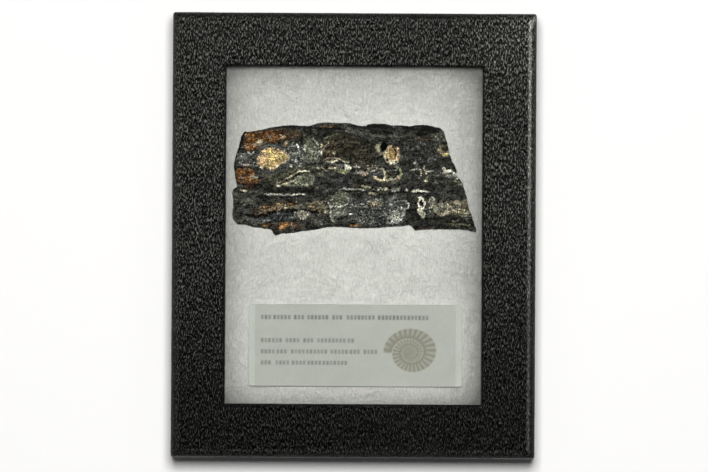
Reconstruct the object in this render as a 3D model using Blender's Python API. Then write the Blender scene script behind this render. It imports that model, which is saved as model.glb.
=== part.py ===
"""A slice of fossil mammoth molar in a glass-fronted specimen case, lying on its back.

The case is a black paper-covered card tray, filled with white polyester batting. The slice and its
label card lie pressed into the batting, under a pane of glass that sits inside a lid with a window.
The origin is at the middle of the underside, +Z points out of the glass, and +Y points to the top
edge of the label, so a viewer above the case reads it the right way up.
"""

import math

import bmesh
import bpy
from mathutils import Vector, noise

MM = 0.001

# Driving dimensions, in millimetres. The case is the 4.5 x 5.5 x 0.75 inch stock size.
CASE_WIDTH = 114.3
CASE_LENGTH = 139.7
CASE_DEPTH = 19.05
TOUCH_GAP = 0.3

# Lid: a shallow box turned over, with a window in its face and skirts that lean in towards the face
LID_BOARD = 1.6
LID_LEAN = 0.6
LID_EDGE_ROUND = 1.5
SKIRT_LIFT = 0.6
WINDOW_WIDTH = 81.0
WINDOW_LENGTH = 105.8
WINDOW_CHAMFER = 0.4

# Glass pane, laid inside the lid against the back of its face
GLASS_THICKNESS = 2.0
GLASS_SIDE_GAP = 0.35

# Tray: the lower box that the lid slides over
TRAY_BOARD = 1.4
TRAY_SIDE_GAP = 0.45

# Batting: a pad that fills the tray and is highest in the middle
CROWN_DROP = 3.0
CROWN_POWER = 4
PAD_DIVISIONS = 12

# Slice: sawn flat back and front, with its broken rim between
SLICE_THICKNESS = 8.0
SLICE_POCKET_FLOOR_GAP = 0.4
SHOULDER_DEPTH = 0.5
RIM_DEPTHS = (2.6, 4.4, 6.2)
RIM_SWELL = 0.5
RIM_NOISE_SCALE = 0.4
BACK_CHAMFER = 0.5

# Label card
CARD_WIDTH = 67.4
CARD_LENGTH = 25.9
CARD_THICKNESS = 0.3
CARD_CENTRE = (0.6, -34.5)
CARD_CORNER = 1.2

# Heights above the table, worked out from the driving dimensions
GLASS_TOP = CASE_DEPTH - LID_BOARD - TOUCH_GAP
GLASS_UNDERSIDE = GLASS_TOP - GLASS_THICKNESS
SLICE_FACE = GLASS_UNDERSIDE - TOUCH_GAP
CROWN = SLICE_FACE - 0.1
CARD_TOP = GLASS_UNDERSIDE - 0.4
PAD_FLOOR = TRAY_BOARD + TOUCH_GAP

# The slice's outline seen from the front, clockwise from its top left corner: x, y
SLICE_OUTLINE = [
    (-34.8, 32.6), (-31.5, 33.0), (-29.0, 33.5), (-27.0, 34.0), (-24.6, 34.4), (-22.0, 34.8),
    (-19.0, 34.9), (-16.5, 34.7), (-14.0, 34.7), (-12.6, 35.2), (-11.0, 35.6), (-8.5, 35.8),
    (-5.0, 35.6), (-1.5, 35.6), (0.4, 35.0), (2.0, 34.7), (3.5, 34.7), (4.3, 35.3),
    (6.0, 35.5), (9.8, 35.4), (11.6, 34.9), (14.6, 35.0), (17.4, 34.7), (19.4, 35.1),
    (21.5, 35.2), (23.6, 35.0), (25.4, 34.5), (26.6, 34.4), (28.0, 33.3), (28.5, 31.8),
    (29.1, 29.6), (29.7, 27.5), (29.9, 25.9), (30.9, 23.5), (31.7, 22.3), (32.3, 20.3),
    (32.1, 19.4), (33.2, 18.0), (34.1, 16.7), (34.9, 14.2), (35.6, 11.8), (36.0, 9.2),
    (36.9, 7.0), (37.8, 4.3), (38.5, 2.2), (38.2, 1.7), (36.0, 2.1), (33.0, 2.3),
    (29.0, 2.3), (23.0, 2.3), (20.5, 2.0), (19.2, 1.9), (18.2, 3.1), (17.2, 3.6),
    (16.2, 3.5), (15.4, 3.2), (10.0, 3.0), (7.5, 2.6), (5.0, 2.7), (3.5, 2.5),
    (-1.5, 2.7), (-6.0, 3.0), (-8.0, 2.9), (-10.2, 2.4), (-12.5, 1.9), (-17.0, 1.4),
    (-19.0, 0.9), (-23.0, 0.7), (-24.7, 0.0), (-25.4, 0.6), (-25.8, 1.6), (-26.6, 2.1),
    (-28.8, 2.3), (-30.3, 2.7), (-31.7, 2.6), (-34.0, 3.5), (-36.8, 3.5), (-38.2, 5.2),
    (-38.4, 6.6), (-38.1, 9.5), (-38.2, 11.6), (-38.5, 13.7), (-38.0, 14.7), (-36.9, 15.4),
    (-37.2, 16.5), (-37.7, 19.5), (-38.0, 22.6), (-37.3, 25.4), (-36.3, 28.6), (-35.7, 31.4),
]

# Along the top edge the tooth's old outer crust slopes away from the sawn face. Each pair is a place
# along X and how far the face's edge stands back from the outline there.
CRUST_START_Y = 32.0
CRUST_STAND_BACK = [
    (-30.0, 0.3), (-24.0, 0.8), (-15.0, 0.8), (-9.0, 1.5), (-1.0, 1.6), (3.0, 1.2), (5.5, 2.2),
    (9.5, 1.9), (13.0, 1.0), (17.0, 1.2), (21.5, 2.8), (26.0, 1.0), (28.0, 0.3),
]
SAWN_STAND_BACK = 0.2

# The pocket that the slice has pressed in the batting, clear of the slice all round
POCKET_OUTLINE = [
    (-35.6, 33.4), (-31.0, 33.9), (-25.0, 35.2), (-20.0, 35.8), (-14.0, 35.7), (-9.0, 36.7),
    (-1.2, 36.5), (1.5, 35.8), (5.0, 36.4), (10.0, 36.3), (14.0, 35.9), (17.5, 35.7),
    (21.5, 36.1), (26.8, 35.3), (28.9, 33.7), (30.1, 29.0), (31.0, 25.0), (32.9, 22.0),
    (33.4, 19.4), (35.0, 16.8), (36.1, 12.6), (36.9, 8.6), (38.3, 5.8), (39.4, 1.8),
    (38.6, 0.9), (19.0, 1.0), (8.0, 1.7), (-3.0, 1.8), (-10.0, 1.4), (-20.0, -0.1),
    (-24.8, -0.9), (-26.7, 1.1), (-30.0, 1.5), (-32.0, 1.6), (-34.5, 2.5), (-37.3, 2.4),
    (-39.1, 4.6), (-39.4, 7.0), (-39.3, 14.1), (-38.5, 15.6), (-38.9, 22.6), (-36.5, 31.9),
]

# Hollows in the slice's face: centre x, y, then half sizes across x and y, depth, and turn in degrees
SLICE_HOLLOWS = {
    "narrow_hole": (9.15, 28.1, 0.75, 1.55, 3.2, -8),
    "cup": (11.9, 25.9, 1.85, 2.55, 1.7, 14),
    "edge_cup": (28.3, 27.1, 1.1, 1.4, 0.8, 0),
    "top_chip": (20.8, 34.2, 4.9, 2.3, 2.2, -3),
    "crust_chip": (7.6, 35.3, 3.6, 1.2, 1.8, -2),
    "seam_pit": (-13.6, 14.4, 1.4, 0.5, 0.7, 14),
    "lower_pit": (11.1, 15.0, 0.6, 0.4, 0.5, 0),
}


def clear_scene():
    for old in list(bpy.data.objects):
        bpy.data.objects.remove(old, do_unlink=True)


def new_collection(name):
    made = bpy.data.collections.new(name)
    bpy.context.scene.collection.children.link(made)
    return made


def new_material(name, colour, roughness, metallic=0.0, transmission=0.0):
    material = bpy.data.materials.new(name)
    material.use_nodes = True
    shader = material.node_tree.nodes["Principled BSDF"]
    shader.inputs["Base Color"].default_value = (*colour, 1.0)
    shader.inputs["Roughness"].default_value = roughness
    shader.inputs["Metallic"].default_value = metallic
    shader.inputs["Transmission Weight"].default_value = transmission
    material.diffuse_color = (*colour, 1.0)
    return material


def add_object(name, mesh, collection, material=None):
    made = bpy.data.objects.new(name, mesh)
    collection.objects.link(made)
    if material:
        mesh.materials.append(material)
    return made


def finish_mesh(name, shape):
    """Turns a shape in millimetres into a mesh in metres, with its faces pointing out."""
    bmesh.ops.recalc_face_normals(shape, faces=shape.faces)
    bmesh.ops.scale(shape, vec=(MM, MM, MM), verts=shape.verts)
    mesh = bpy.data.meshes.new(name)
    shape.to_mesh(mesh)
    shape.free()
    return mesh


def block(width, length, bottom, top, top_inset=0.0):
    """A box in millimetres, centred on the Z axis. top_inset draws in its upper face."""
    shape = bmesh.new()
    bmesh.ops.create_cube(shape, size=1.0)
    for vert in shape.verts:
        inset = top_inset if vert.co.z > 0 else 0.0
        vert.co.x = math.copysign(width / 2 - inset, vert.co.x)
        vert.co.y = math.copysign(length / 2 - inset, vert.co.y)
        vert.co.z = top if vert.co.z > 0 else bottom
    return shape


def round_edges(shape, radius, segments, chosen):
    """Rounds the edges of a shape that chosen accepts."""
    edges = [edge for edge in shape.edges if chosen(edge)]
    bmesh.ops.bevel(
        shape, geom=edges, offset=radius, segments=segments, profile=0.5, affect="EDGES"
    )


def is_upright(edge):
    along = edge.verts[1].co - edge.verts[0].co
    return abs(along.z) > 0.9 * along.length


def is_high(edge, height):
    return min(vert.co.z for vert in edge.verts) > height


def cut(target, name, mesh, cutters):
    """Takes a closed mesh out of target."""
    cutter = add_object(name, mesh, cutters)
    cutter.hide_render = True
    cutter.display_type = "WIRE"
    modifier = target.modifiers.new(name, "BOOLEAN")
    modifier.operation = "DIFFERENCE"
    modifier.object = cutter


def outline_column(name, points, bottom, top, collection):
    """A closed column of an outline's shape, in millimetres, as a mesh in metres."""
    curve = bpy.data.curves.new(name, "CURVE")
    curve.dimensions = "2D"
    curve.fill_mode = "BOTH"
    curve.extrude = (top - bottom) / 2 * MM
    spline = curve.splines.new("POLY")
    spline.points.add(len(points) - 1)
    for point, (x, y) in zip(spline.points, points):
        point.co = (x * MM, y * MM, 0.0, 1.0)
    spline.use_cyclic_u = True
    drawn = add_object(name, curve, collection)
    bpy.context.view_layer.update()
    evaluated = drawn.evaluated_get(bpy.context.evaluated_depsgraph_get())
    mesh = bpy.data.meshes.new_from_object(evaluated)
    bpy.data.objects.remove(drawn, do_unlink=True)

    shape = bmesh.new()
    shape.from_mesh(mesh)
    bmesh.ops.remove_doubles(shape, verts=shape.verts, dist=0.00001)
    bmesh.ops.recalc_face_normals(shape, faces=shape.faces)
    bmesh.ops.translate(shape, vec=(0.0, 0.0, (top + bottom) / 2 * MM), verts=shape.verts)
    shape.to_mesh(mesh)
    shape.free()
    return mesh


# Lid


def build_lid(parts, cutters, paper):
    shell = block(CASE_WIDTH, CASE_LENGTH, SKIRT_LIFT, CASE_DEPTH, LID_LEAN)
    round_edges(
        shell,
        LID_EDGE_ROUND,
        5,
        lambda edge: is_upright(edge) or is_high(edge, CASE_DEPTH - 0.1),
    )
    lid = add_object("lid", finish_mesh("lid", shell), parts, paper)

    # The hollow is the same box, one board thinner, and runs out below the skirts
    below = 2.0
    lean_per_mm = LID_LEAN / (CASE_DEPTH - SKIRT_LIFT)
    roof = CASE_DEPTH - LID_BOARD
    spread = lean_per_mm * (SKIRT_LIFT + below)
    hollow = block(
        CASE_WIDTH - 2 * LID_BOARD + 2 * spread,
        CASE_LENGTH - 2 * LID_BOARD + 2 * spread,
        -below,
        roof,
        lean_per_mm * (roof + below),
    )
    cut(lid, "lid_hollow", finish_mesh("lid_hollow", hollow), cutters)

    window = block(WINDOW_WIDTH, WINDOW_LENGTH, roof - 3.0, CASE_DEPTH + 3.0)
    cut(lid, "lid_window", finish_mesh("lid_window", window), cutters)

    # The paper turns over the window's edge in a narrow slope
    rise = 1.0
    slope = block(
        WINDOW_WIDTH + 2 * (WINDOW_CHAMFER + rise),
        WINDOW_LENGTH + 2 * (WINDOW_CHAMFER + rise),
        CASE_DEPTH - WINDOW_CHAMFER,
        CASE_DEPTH + rise,
    )
    for vert in slope.verts:
        if vert.co.z < CASE_DEPTH:
            vert.co.x = math.copysign(WINDOW_WIDTH / 2 - 0.001, vert.co.x)
            vert.co.y = math.copysign(WINDOW_LENGTH / 2 - 0.001, vert.co.y)
    cut(lid, "lid_window_slope", finish_mesh("lid_window_slope", slope), cutters)


def lid_inner_half(size):
    """Half the lid's inner width or length, where it is narrowest, under its face."""
    return size / 2 - LID_LEAN - LID_BOARD


# Glass pane


def build_glass(parts, glass):
    width = 2 * (lid_inner_half(CASE_WIDTH) - GLASS_SIDE_GAP)
    length = 2 * (lid_inner_half(CASE_LENGTH) - GLASS_SIDE_GAP)
    pane = block(width, length, GLASS_UNDERSIDE, GLASS_TOP)
    add_object("glass_pane", finish_mesh("glass_pane", pane), parts, glass)


# Tray


def tray_half(size):
    return lid_inner_half(size) - TRAY_SIDE_GAP


def build_tray(parts, cutters, paper):
    width = 2 * tray_half(CASE_WIDTH)
    length = 2 * tray_half(CASE_LENGTH)
    outside = block(width, length, 0.0, GLASS_UNDERSIDE - TOUCH_GAP)
    round_edges(outside, 0.5, 2, lambda edge: is_upright(edge) or not is_high(edge, 0.1))
    tray = add_object("tray", finish_mesh("tray", outside), parts, paper)
    inside = block(
        width - 2 * TRAY_BOARD,
        length - 2 * TRAY_BOARD,
        TRAY_BOARD,
        CASE_DEPTH,
    )
    cut(tray, "tray_hollow", finish_mesh("tray_hollow", inside), cutters)


# Batting


def crown_height(x, y, half_width, half_length):
    """The pad's upper surface: level in the middle, and falling away towards the tray's walls."""
    across = 1 - (abs(x) / half_width) ** CROWN_POWER
    along = 1 - (abs(y) / half_length) ** CROWN_POWER
    return CROWN - CROWN_DROP * (1 - across * along)


def build_batting(parts, cutters, fibre):
    half_width = tray_half(CASE_WIDTH) - TRAY_BOARD - TOUCH_GAP
    half_length = tray_half(CASE_LENGTH) - TRAY_BOARD - TOUCH_GAP
    pad = block(2 * half_width, 2 * half_length, PAD_FLOOR, CROWN)
    bmesh.ops.subdivide_edges(
        pad, edges=pad.edges[:], cuts=PAD_DIVISIONS - 1, use_grid_fill=True
    )
    for vert in pad.verts:
        share = (vert.co.z - PAD_FLOOR) / (CROWN - PAD_FLOOR)
        top = crown_height(vert.co.x, vert.co.y, half_width, half_length)
        vert.co.z = PAD_FLOOR + share * (top - PAD_FLOOR)
    batting = add_object("batting", finish_mesh("batting", pad), parts, fibre)

    floor = SLICE_FACE - SLICE_THICKNESS - SLICE_POCKET_FLOOR_GAP
    pocket = outline_column("slice_pocket", POCKET_OUTLINE, floor, CASE_DEPTH, cutters)
    cut(batting, "slice_pocket", pocket, cutters)

    room = 0.4
    bed = block(
        CARD_WIDTH + 2 * room,
        CARD_LENGTH + 2 * room,
        CARD_TOP - CARD_THICKNESS - TOUCH_GAP,
        CASE_DEPTH,
    )
    bmesh.ops.translate(bed, vec=(*CARD_CENTRE, 0.0), verts=bed.verts)
    cut(batting, "card_bed", finish_mesh("card_bed", bed), cutters)


# Label card


def build_card(parts, card_stock):
    card = block(CARD_WIDTH, CARD_LENGTH, CARD_TOP - CARD_THICKNESS, CARD_TOP)
    round_edges(card, CARD_CORNER, 4, is_upright)
    bmesh.ops.translate(card, vec=(*CARD_CENTRE, 0.0), verts=card.verts)
    add_object("label_card", finish_mesh("label_card", card), parts, card_stock)


# Molar slice


def outward(points, index):
    """The outline's outward direction at a point, halfway between its two neighbours' edges."""
    here = Vector(points[index][:2])
    before = Vector(points[index - 1][:2])
    after = Vector(points[(index + 1) % len(points)][:2])
    along = (here - before).normalized() + (after - here).normalized()
    return Vector((-along.y, along.x)).normalized()


def face_stand_back(x, y):
    """How far the sawn face's edge stands back from the outline at a point of it."""
    if y < CRUST_START_Y:
        return SAWN_STAND_BACK
    knots = [(-CASE_WIDTH, SAWN_STAND_BACK), *CRUST_STAND_BACK, (CASE_WIDTH, SAWN_STAND_BACK)]
    for (x0, back0), (x1, back1) in zip(knots, knots[1:]):
        if x0 <= x < x1:
            return back0 + (back1 - back0) * (x - x0) / (x1 - x0)
    return SAWN_STAND_BACK


def slice_rings():
    """Closed rings of points down the slice's rim, from its front face to its back face.

    The rim is broken: its middle rings swell and draw in by a noise that varies along it.
    """
    rings = [[] for _ in range(len(RIM_DEPTHS) + 4)]
    for index, (x, y) in enumerate(SLICE_OUTLINE):
        rim = Vector((x, y))
        out = outward(SLICE_OUTLINE, index)
        stand_back = face_stand_back(x, y)
        crust_depth = SHOULDER_DEPTH + 0.6 * stand_back
        rings[0].append((*(rim - out * stand_back), SLICE_FACE))
        rings[1].append((*rim, SLICE_FACE - crust_depth))
        for level, depth in enumerate(RIM_DEPTHS):
            rough = noise.noise(Vector((x, y, 2 * depth)) * RIM_NOISE_SCALE)
            offset = max(-RIM_SWELL, min(0.2, RIM_SWELL * rough - 0.1))
            rings[2 + level].append((*(rim + out * offset), SLICE_FACE - depth))
        back = SLICE_FACE - SLICE_THICKNESS
        rings[-2].append((*(rim - out * 0.5 * BACK_CHAMFER), back + BACK_CHAMFER))
        rings[-1].append((*(rim - out * BACK_CHAMFER), back))
    return rings


def build_slice(parts, cutters, fossil):
    shape = bmesh.new()
    rings = [[shape.verts.new(point) for point in ring] for ring in slice_rings()]
    count = len(SLICE_OUTLINE)
    shape.faces.new(rings[0])
    shape.faces.new(rings[-1])
    for upper, lower in zip(rings, rings[1:]):
        for index in range(count):
            following = (index + 1) % count
            shape.faces.new(
                (upper[index], upper[following], lower[following], lower[index])
            )
    molar = add_object("molar_slice", finish_mesh("molar_slice", shape), parts, fossil)

    for name, (x, y, half_x, half_y, depth, turn) in SLICE_HOLLOWS.items():
        ball = bmesh.new()
        bmesh.ops.create_uvsphere(ball, u_segments=20, v_segments=12, radius=1.0)
        bmesh.ops.scale(ball, vec=(half_x, half_y, depth), verts=ball.verts)
        angle = math.radians(turn)
        for vert in ball.verts:
            east, north = vert.co.x, vert.co.y
            vert.co.x = x + east * math.cos(angle) - north * math.sin(angle)
            vert.co.y = y + east * math.sin(angle) + north * math.cos(angle)
            vert.co.z += SLICE_FACE
        cut(molar, name, finish_mesh(name, ball), cutters)


def shade(parts):
    for made in parts.objects:
        made.data.shade_smooth()
        made.data.set_sharp_from_angle(angle=math.radians(35))


def main():
    clear_scene()
    parts = new_collection("molar_slice_in_case")
    cutters = new_collection("cutters")
    lid_paper = new_material("black_grained_paper", (0.012, 0.012, 0.011), 0.42)
    tray_paper = new_material("black_plain_paper", (0.012, 0.012, 0.012), 0.7)
    glass = new_material("clear_glass", (1.0, 1.0, 1.0), 0.02, transmission=1.0)
    fibre = new_material("white_batting", (0.80, 0.80, 0.78), 0.95)
    card_stock = new_material("grey_card", (0.55, 0.57, 0.52), 0.75)
    fossil = new_material("dark_fossil_tooth", (0.05, 0.047, 0.04), 0.3)

    build_lid(parts, cutters, lid_paper)
    build_glass(parts, glass)
    build_tray(parts, cutters, tray_paper)
    build_batting(parts, cutters, fibre)
    build_slice(parts, cutters, fossil)
    build_card(parts, card_stock)
    shade(parts)


main()
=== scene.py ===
import math
import bmesh
import bpy
import numpy as np
from mathutils import Matrix, Quaternion, Vector


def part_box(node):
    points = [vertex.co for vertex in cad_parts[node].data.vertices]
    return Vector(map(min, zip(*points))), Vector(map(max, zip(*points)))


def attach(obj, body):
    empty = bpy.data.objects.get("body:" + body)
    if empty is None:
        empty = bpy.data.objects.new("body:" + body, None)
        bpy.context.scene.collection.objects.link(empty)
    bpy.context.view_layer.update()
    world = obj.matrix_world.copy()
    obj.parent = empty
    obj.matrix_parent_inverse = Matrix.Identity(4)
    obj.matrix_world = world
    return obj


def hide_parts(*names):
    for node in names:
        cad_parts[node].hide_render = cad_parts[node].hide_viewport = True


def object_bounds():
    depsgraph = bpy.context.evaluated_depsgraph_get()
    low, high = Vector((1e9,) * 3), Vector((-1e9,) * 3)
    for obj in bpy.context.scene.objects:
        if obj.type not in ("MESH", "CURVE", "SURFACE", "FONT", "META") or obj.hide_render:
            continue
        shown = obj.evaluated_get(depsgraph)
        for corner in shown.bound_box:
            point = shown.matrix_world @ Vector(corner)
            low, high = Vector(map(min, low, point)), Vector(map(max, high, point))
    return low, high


# A polished slice of mammoth molar under glass, in its black specimen case, lying on a pale floor.
# Shapes are worked out in millimetres and put into their meshes in metres.
mm = 0.001
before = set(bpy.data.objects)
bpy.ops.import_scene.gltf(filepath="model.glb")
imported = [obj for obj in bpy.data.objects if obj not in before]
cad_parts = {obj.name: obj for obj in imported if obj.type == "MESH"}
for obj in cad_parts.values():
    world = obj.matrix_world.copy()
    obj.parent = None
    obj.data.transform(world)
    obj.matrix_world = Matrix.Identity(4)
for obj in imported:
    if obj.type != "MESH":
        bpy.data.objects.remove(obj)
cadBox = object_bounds()


# helpers for shapes

def smoothStep(low, high, value):
    # t*t*(3 - 2t), where t runs from 0 at low to 1 at high
    t = np.clip((value - low) / (high - low), 0.0, 1.0)
    return t * t * (3 - 2 * t)


def ripple(x, y, seed):
    # gradient noise: every whole-number corner has a random slope, and the four nearest slopes
    # are blended with b = t*t*t*(6*t*t - 15*t + 10). The result is about -1 to 1.
    angle = np.random.default_rng(seed).uniform(0, 2 * np.pi, (256, 256))
    column, row = np.floor(x).astype(int), np.floor(y).astype(int)
    tx, ty = x - column, y - row

    def corner(i, j):
        a = angle[(column + i) % 256, (row + j) % 256]
        return np.cos(a) * (tx - i) + np.sin(a) * (ty - j)

    bx = tx * tx * tx * (6 * tx * tx - 15 * tx + 10)
    by = ty * ty * ty * (6 * ty * ty - 15 * ty + 10)
    low = corner(0, 0) + bx * (corner(1, 0) - corner(0, 0))
    high = corner(0, 1) + bx * (corner(1, 1) - corner(0, 1))
    return 1.5 * (low + by * (high - low))


def clouds(x, y, size, octaves, seed):
    # sum of ripples at size, size/2, size/4 ..., each 0.6 as strong as the last, over their total
    total, strength, weight = 0.0, 1.0, 0.0
    for octave in range(octaves):
        step = 2 ** octave / size
        total = total + strength * ripple(x * step + 31.7 * octave, y * step - 11.3 * octave, seed + octave)
        weight += strength
        strength *= 0.6
    return total / weight


def alongLine(points, count, closed=False):
    # count points at equal steps of length along straight runs between the given points
    points = np.array(points, float)
    if closed:
        points = np.vstack([points, points[:1]])
    travelled = np.concatenate([[0], np.cumsum(np.hypot(*np.diff(points, axis=0).T))])
    places = np.linspace(0, travelled[-1], count, endpoint=not closed)
    return np.stack([np.interp(places, travelled, points[:, k]) for k in (0, 1)], -1)


def lineDistance(x, y, points):
    # smallest distance from each place to the runs a-b: |p - a - t(b - a)|, t = (p-a).(b-a)/|b-a|^2
    nearest = np.full(np.shape(x), 1e9)
    for (ax, ay), (bx, by) in zip(points, points[1:]):
        dx, dy = bx - ax, by - ay
        t = np.clip(((x - ax) * dx + (y - ay) * dy) / max(dx * dx + dy * dy, 1e-12), 0, 1)
        nearest = np.minimum(nearest, np.hypot(x - ax - t * dx, y - ay - t * dy))
    return nearest


def insideOf(x, y, points):
    # even-odd rule: a place is inside when a line from it to the right crosses the outline an odd
    # number of times
    crossings = np.zeros(np.shape(x), int)
    for (ax, ay), (bx, by) in zip(points, points[1:]):
        spans = (ay > y) != (by > y)
        rise = by - ay if by != ay else 1e-9
        crossings += spans & (x < ax + (y - ay) * (bx - ax) / rise)
    return crossings % 2 == 1


def quadsBetween(rows, columns, closed=False, start=0):
    # corner numbers (r, c), (r, c+1), (r+1, c+1), (r+1, c) for every cell of a grid stored row by row
    r, c = np.meshgrid(np.arange(rows - 1), np.arange(columns - (not closed)), indexing="ij")
    after = (c + 1) % columns
    cells = [r * columns + c, r * columns + after, (r + 1) * columns + after, (r + 1) * columns + c]
    return start + np.stack(cells, -1).reshape(-1, 4)


def makePiece(name, points, quads, triangles=None):
    # points in millimetres, n x 3; quads and triangles hold corner numbers
    if triangles is None:
        triangles = np.zeros((0, 3), int)
    corners = np.concatenate([quads.ravel(), triangles.ravel()]).astype(np.int32)
    sizes = np.repeat([4, 3], [len(quads), len(triangles)])
    mesh = bpy.data.meshes.new(name)
    mesh.vertices.add(len(points))
    mesh.vertices.foreach_set("co", (points * mm).astype(np.float32).ravel())
    mesh.loops.add(len(corners))
    mesh.loops.foreach_set("vertex_index", corners)
    mesh.polygons.add(len(sizes))
    mesh.polygons.foreach_set("loop_start", (np.cumsum(sizes) - sizes).astype(np.int32))
    mesh.update(calc_edges=True)
    mesh.validate()
    shape = bmesh.new()
    shape.from_mesh(mesh)
    bmesh.ops.recalc_face_normals(shape, faces=shape.faces)
    shape.to_mesh(mesh)
    shape.free()
    mesh.polygons.foreach_set("use_smooth", np.ones(len(mesh.polygons), bool))
    piece = bpy.data.objects.new(name, mesh)
    bpy.context.scene.collection.objects.link(piece)
    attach(piece, "root")
    return piece


def setColour(piece, name, rgb):
    layer = piece.data.color_attributes.new(name, "FLOAT_COLOR", "POINT")
    layer.data.foreach_set("color", np.column_stack([rgb, np.ones(len(rgb))]).astype(np.float32).ravel())


def setNumber(piece, name, values):
    layer = piece.data.attributes.new(name, "FLOAT", "POINT")
    layer.data.foreach_set("value", values.astype(np.float32).ravel())


def setPlace(piece, name, places):
    layer = piece.data.attributes.new(name, "FLOAT_VECTOR", "POINT")
    layer.data.foreach_set("vector", places.astype(np.float32).ravel())


def linear(shown):
    # screen colour, 0 to 255, to light: ((c + 0.055) / 1.055) ** 2.4
    c = np.asarray(shown, float) / 255
    return np.where(c < 0.04045, c / 12.92, ((c + 0.055) / 1.055) ** 2.4)


# helpers for materials

def newMaterial(name, roughness=0.5, colour=(0.5, 0.5, 0.5)):
    material = bpy.data.materials.new(name)
    material.use_nodes = True
    shader = material.node_tree.nodes["Principled BSDF"]
    shader.inputs["Base Color"].default_value = (*colour, 1)
    shader.inputs["Roughness"].default_value = roughness
    material.diffuse_color = (*colour, 1)
    return material, material.node_tree, shader


def addNode(tree, kind, inputs=None, **settings):
    # an input is linked where a socket is given, and set where a value is
    made = tree.nodes.new(kind)
    for key, value in settings.items():
        setattr(made, key, value)
    for key, value in (inputs or {}).items():
        if isinstance(value, bpy.types.NodeSocket):
            tree.links.new(value, made.inputs[key])
        else:
            made.inputs[key].default_value = value
    return made


def calc(tree, operation, first, second=0.0, third=0.0):
    return addNode(tree, "ShaderNodeMath", {0: first, 1: second, 2: third}, operation=operation).outputs[0]


def remap(tree, value, fromLow, fromHigh, toLow, toHigh):
    # toLow + (toHigh - toLow) * (value - fromLow) / (fromHigh - fromLow), kept between toLow and toHigh
    inputs = {"Value": value, "From Min": fromLow, "From Max": fromHigh, "To Min": toLow, "To Max": toHigh}
    return addNode(tree, "ShaderNodeMapRange", inputs).outputs["Result"]


def shadingOf(tree, name, output="Fac"):
    # a number or colour that the piece carries at each of its points
    return addNode(tree, "ShaderNodeAttribute", attribute_name=name).outputs[output]


def placeOf(tree, scale=(1, 1, 1), turn=(0, 0, 0), attribute=None):
    # object coordinates, or one of the piece's own attributes, stretched by scale
    if attribute:
        source = shadingOf(tree, attribute, "Vector")
    else:
        source = addNode(tree, "ShaderNodeTexCoord").outputs["Object"]
    return addNode(tree, "ShaderNodeMapping", {"Vector": source, "Scale": scale, "Rotation": turn}).outputs[0]


def grains(tree, place, scale, detail=3.0, rough=0.6, warp=0.0):
    inputs = {"Vector": place, "Scale": scale, "Detail": detail, "Roughness": rough, "Distortion": warp}
    return addNode(tree, "ShaderNodeTexNoise", inputs).outputs["Fac"]


def tinted(tree, colour, value):
    # colour times value
    return addNode(tree, "ShaderNodeVectorMath", {0: colour, 1: value}, operation="MULTIPLY").outputs[0]


def addBump(tree, shader, height, distance):
    bump = addNode(tree, "ShaderNodeBump", {"Height": height, "Distance": distance, "Strength": 1.0})
    tree.links.new(bump.outputs["Normal"], shader.inputs["Normal"])


# camera and lights

view = {
    "distance": 3.0,             # metres, a long lens
    "leanToFoot": 0.9,           # degrees from straight above, towards the foot of the case
    "leanToRight": 0.15,         # degrees
    "roll": 0.33,                # degrees, the case is turned a little clockwise
    "aim": (0.08, -0.21),        # mm, the place on the lid's face in the middle of the picture
    "pixelsPerMm": 3.196,        # at the lid's face, in a picture 708 pixels wide
    "pictureWidth": 708,
    "sensor": 36.0,
}


def addCamera():
    # lens = sensor * distance / width seen, with the camera's own X kept level before it is rolled
    target = Vector((view["aim"][0] * mm, view["aim"][1] * mm, cadBox[1][2]))
    lean, side = math.radians(view["leanToFoot"]), math.radians(view["leanToRight"])
    away = Vector((math.tan(side), -math.tan(lean), 1)).normalized()
    camera = bpy.data.objects.new("camera", bpy.data.cameras.new("camera"))
    camera.location = target + away * view["distance"]
    right = Vector((0, 1, 0)).cross(away).normalized()
    upright = Matrix((right, away.cross(right), away)).transposed().to_quaternion()
    camera.rotation_mode = "QUATERNION"
    camera.rotation_quaternion = upright @ Quaternion((0, 0, 1), math.radians(view["roll"]))
    seen = view["pictureWidth"] / view["pixelsPerMm"] * mm
    camera.data.sensor_width = view["sensor"]
    camera.data.lens = view["sensor"] * view["distance"] / seen
    camera.data.clip_start = 0.05
    bpy.context.scene.collection.objects.link(camera)
    bpy.context.scene.camera = camera


studio = {
    "lampColour": (1.0, 0.995, 0.98),
    "worldStrength": 0.03,
    "floorHalf": 1500.0,         # mm
    "floorTone": 0.93,
}
lights = [
    # name, where, size, watts, whether it lights matt surfaces, and whether gloss shows it
    ("overhead", (0.01, 0.235, 1.5), 0.40, 24.0, True, False),
    ("wide", (0.0, 0.10, 1.0), 2.2, 1.3, True, False),
    ("sheenRight", (0.17, 0.09, 0.36), 0.12, 0.70, False, True),
    ("sheenLeft", (-0.17, 0.20, 0.36), 0.12, 0.38, False, True),
]


def addLights():
    for name, place, size, watts, onMatt, inGloss in lights:
        lamp = bpy.data.lights.new(name, "AREA")
        lamp.size = size
        lamp.energy = watts
        lamp.color = studio["lampColour"]
        light = bpy.data.objects.new(name, lamp)
        light.location = place
        light.rotation_mode = "QUATERNION"
        light.rotation_quaternion = (-Vector(place)).to_track_quat("-Z", "Y")
        light.visible_diffuse = onMatt
        light.visible_glossy = inGloss
        light.visible_transmission = False
        light.visible_camera = False
        bpy.context.scene.collection.objects.link(light)
    world = bpy.data.worlds.new("studio")
    world.use_nodes = True
    background = world.node_tree.nodes["Background"]
    background.inputs["Color"].default_value = (1.0, 1.0, 1.0, 1)
    background.inputs["Strength"].default_value = studio["worldStrength"]
    bpy.context.scene.world = world
    bpy.context.scene.view_settings.view_transform = "Standard"


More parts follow.
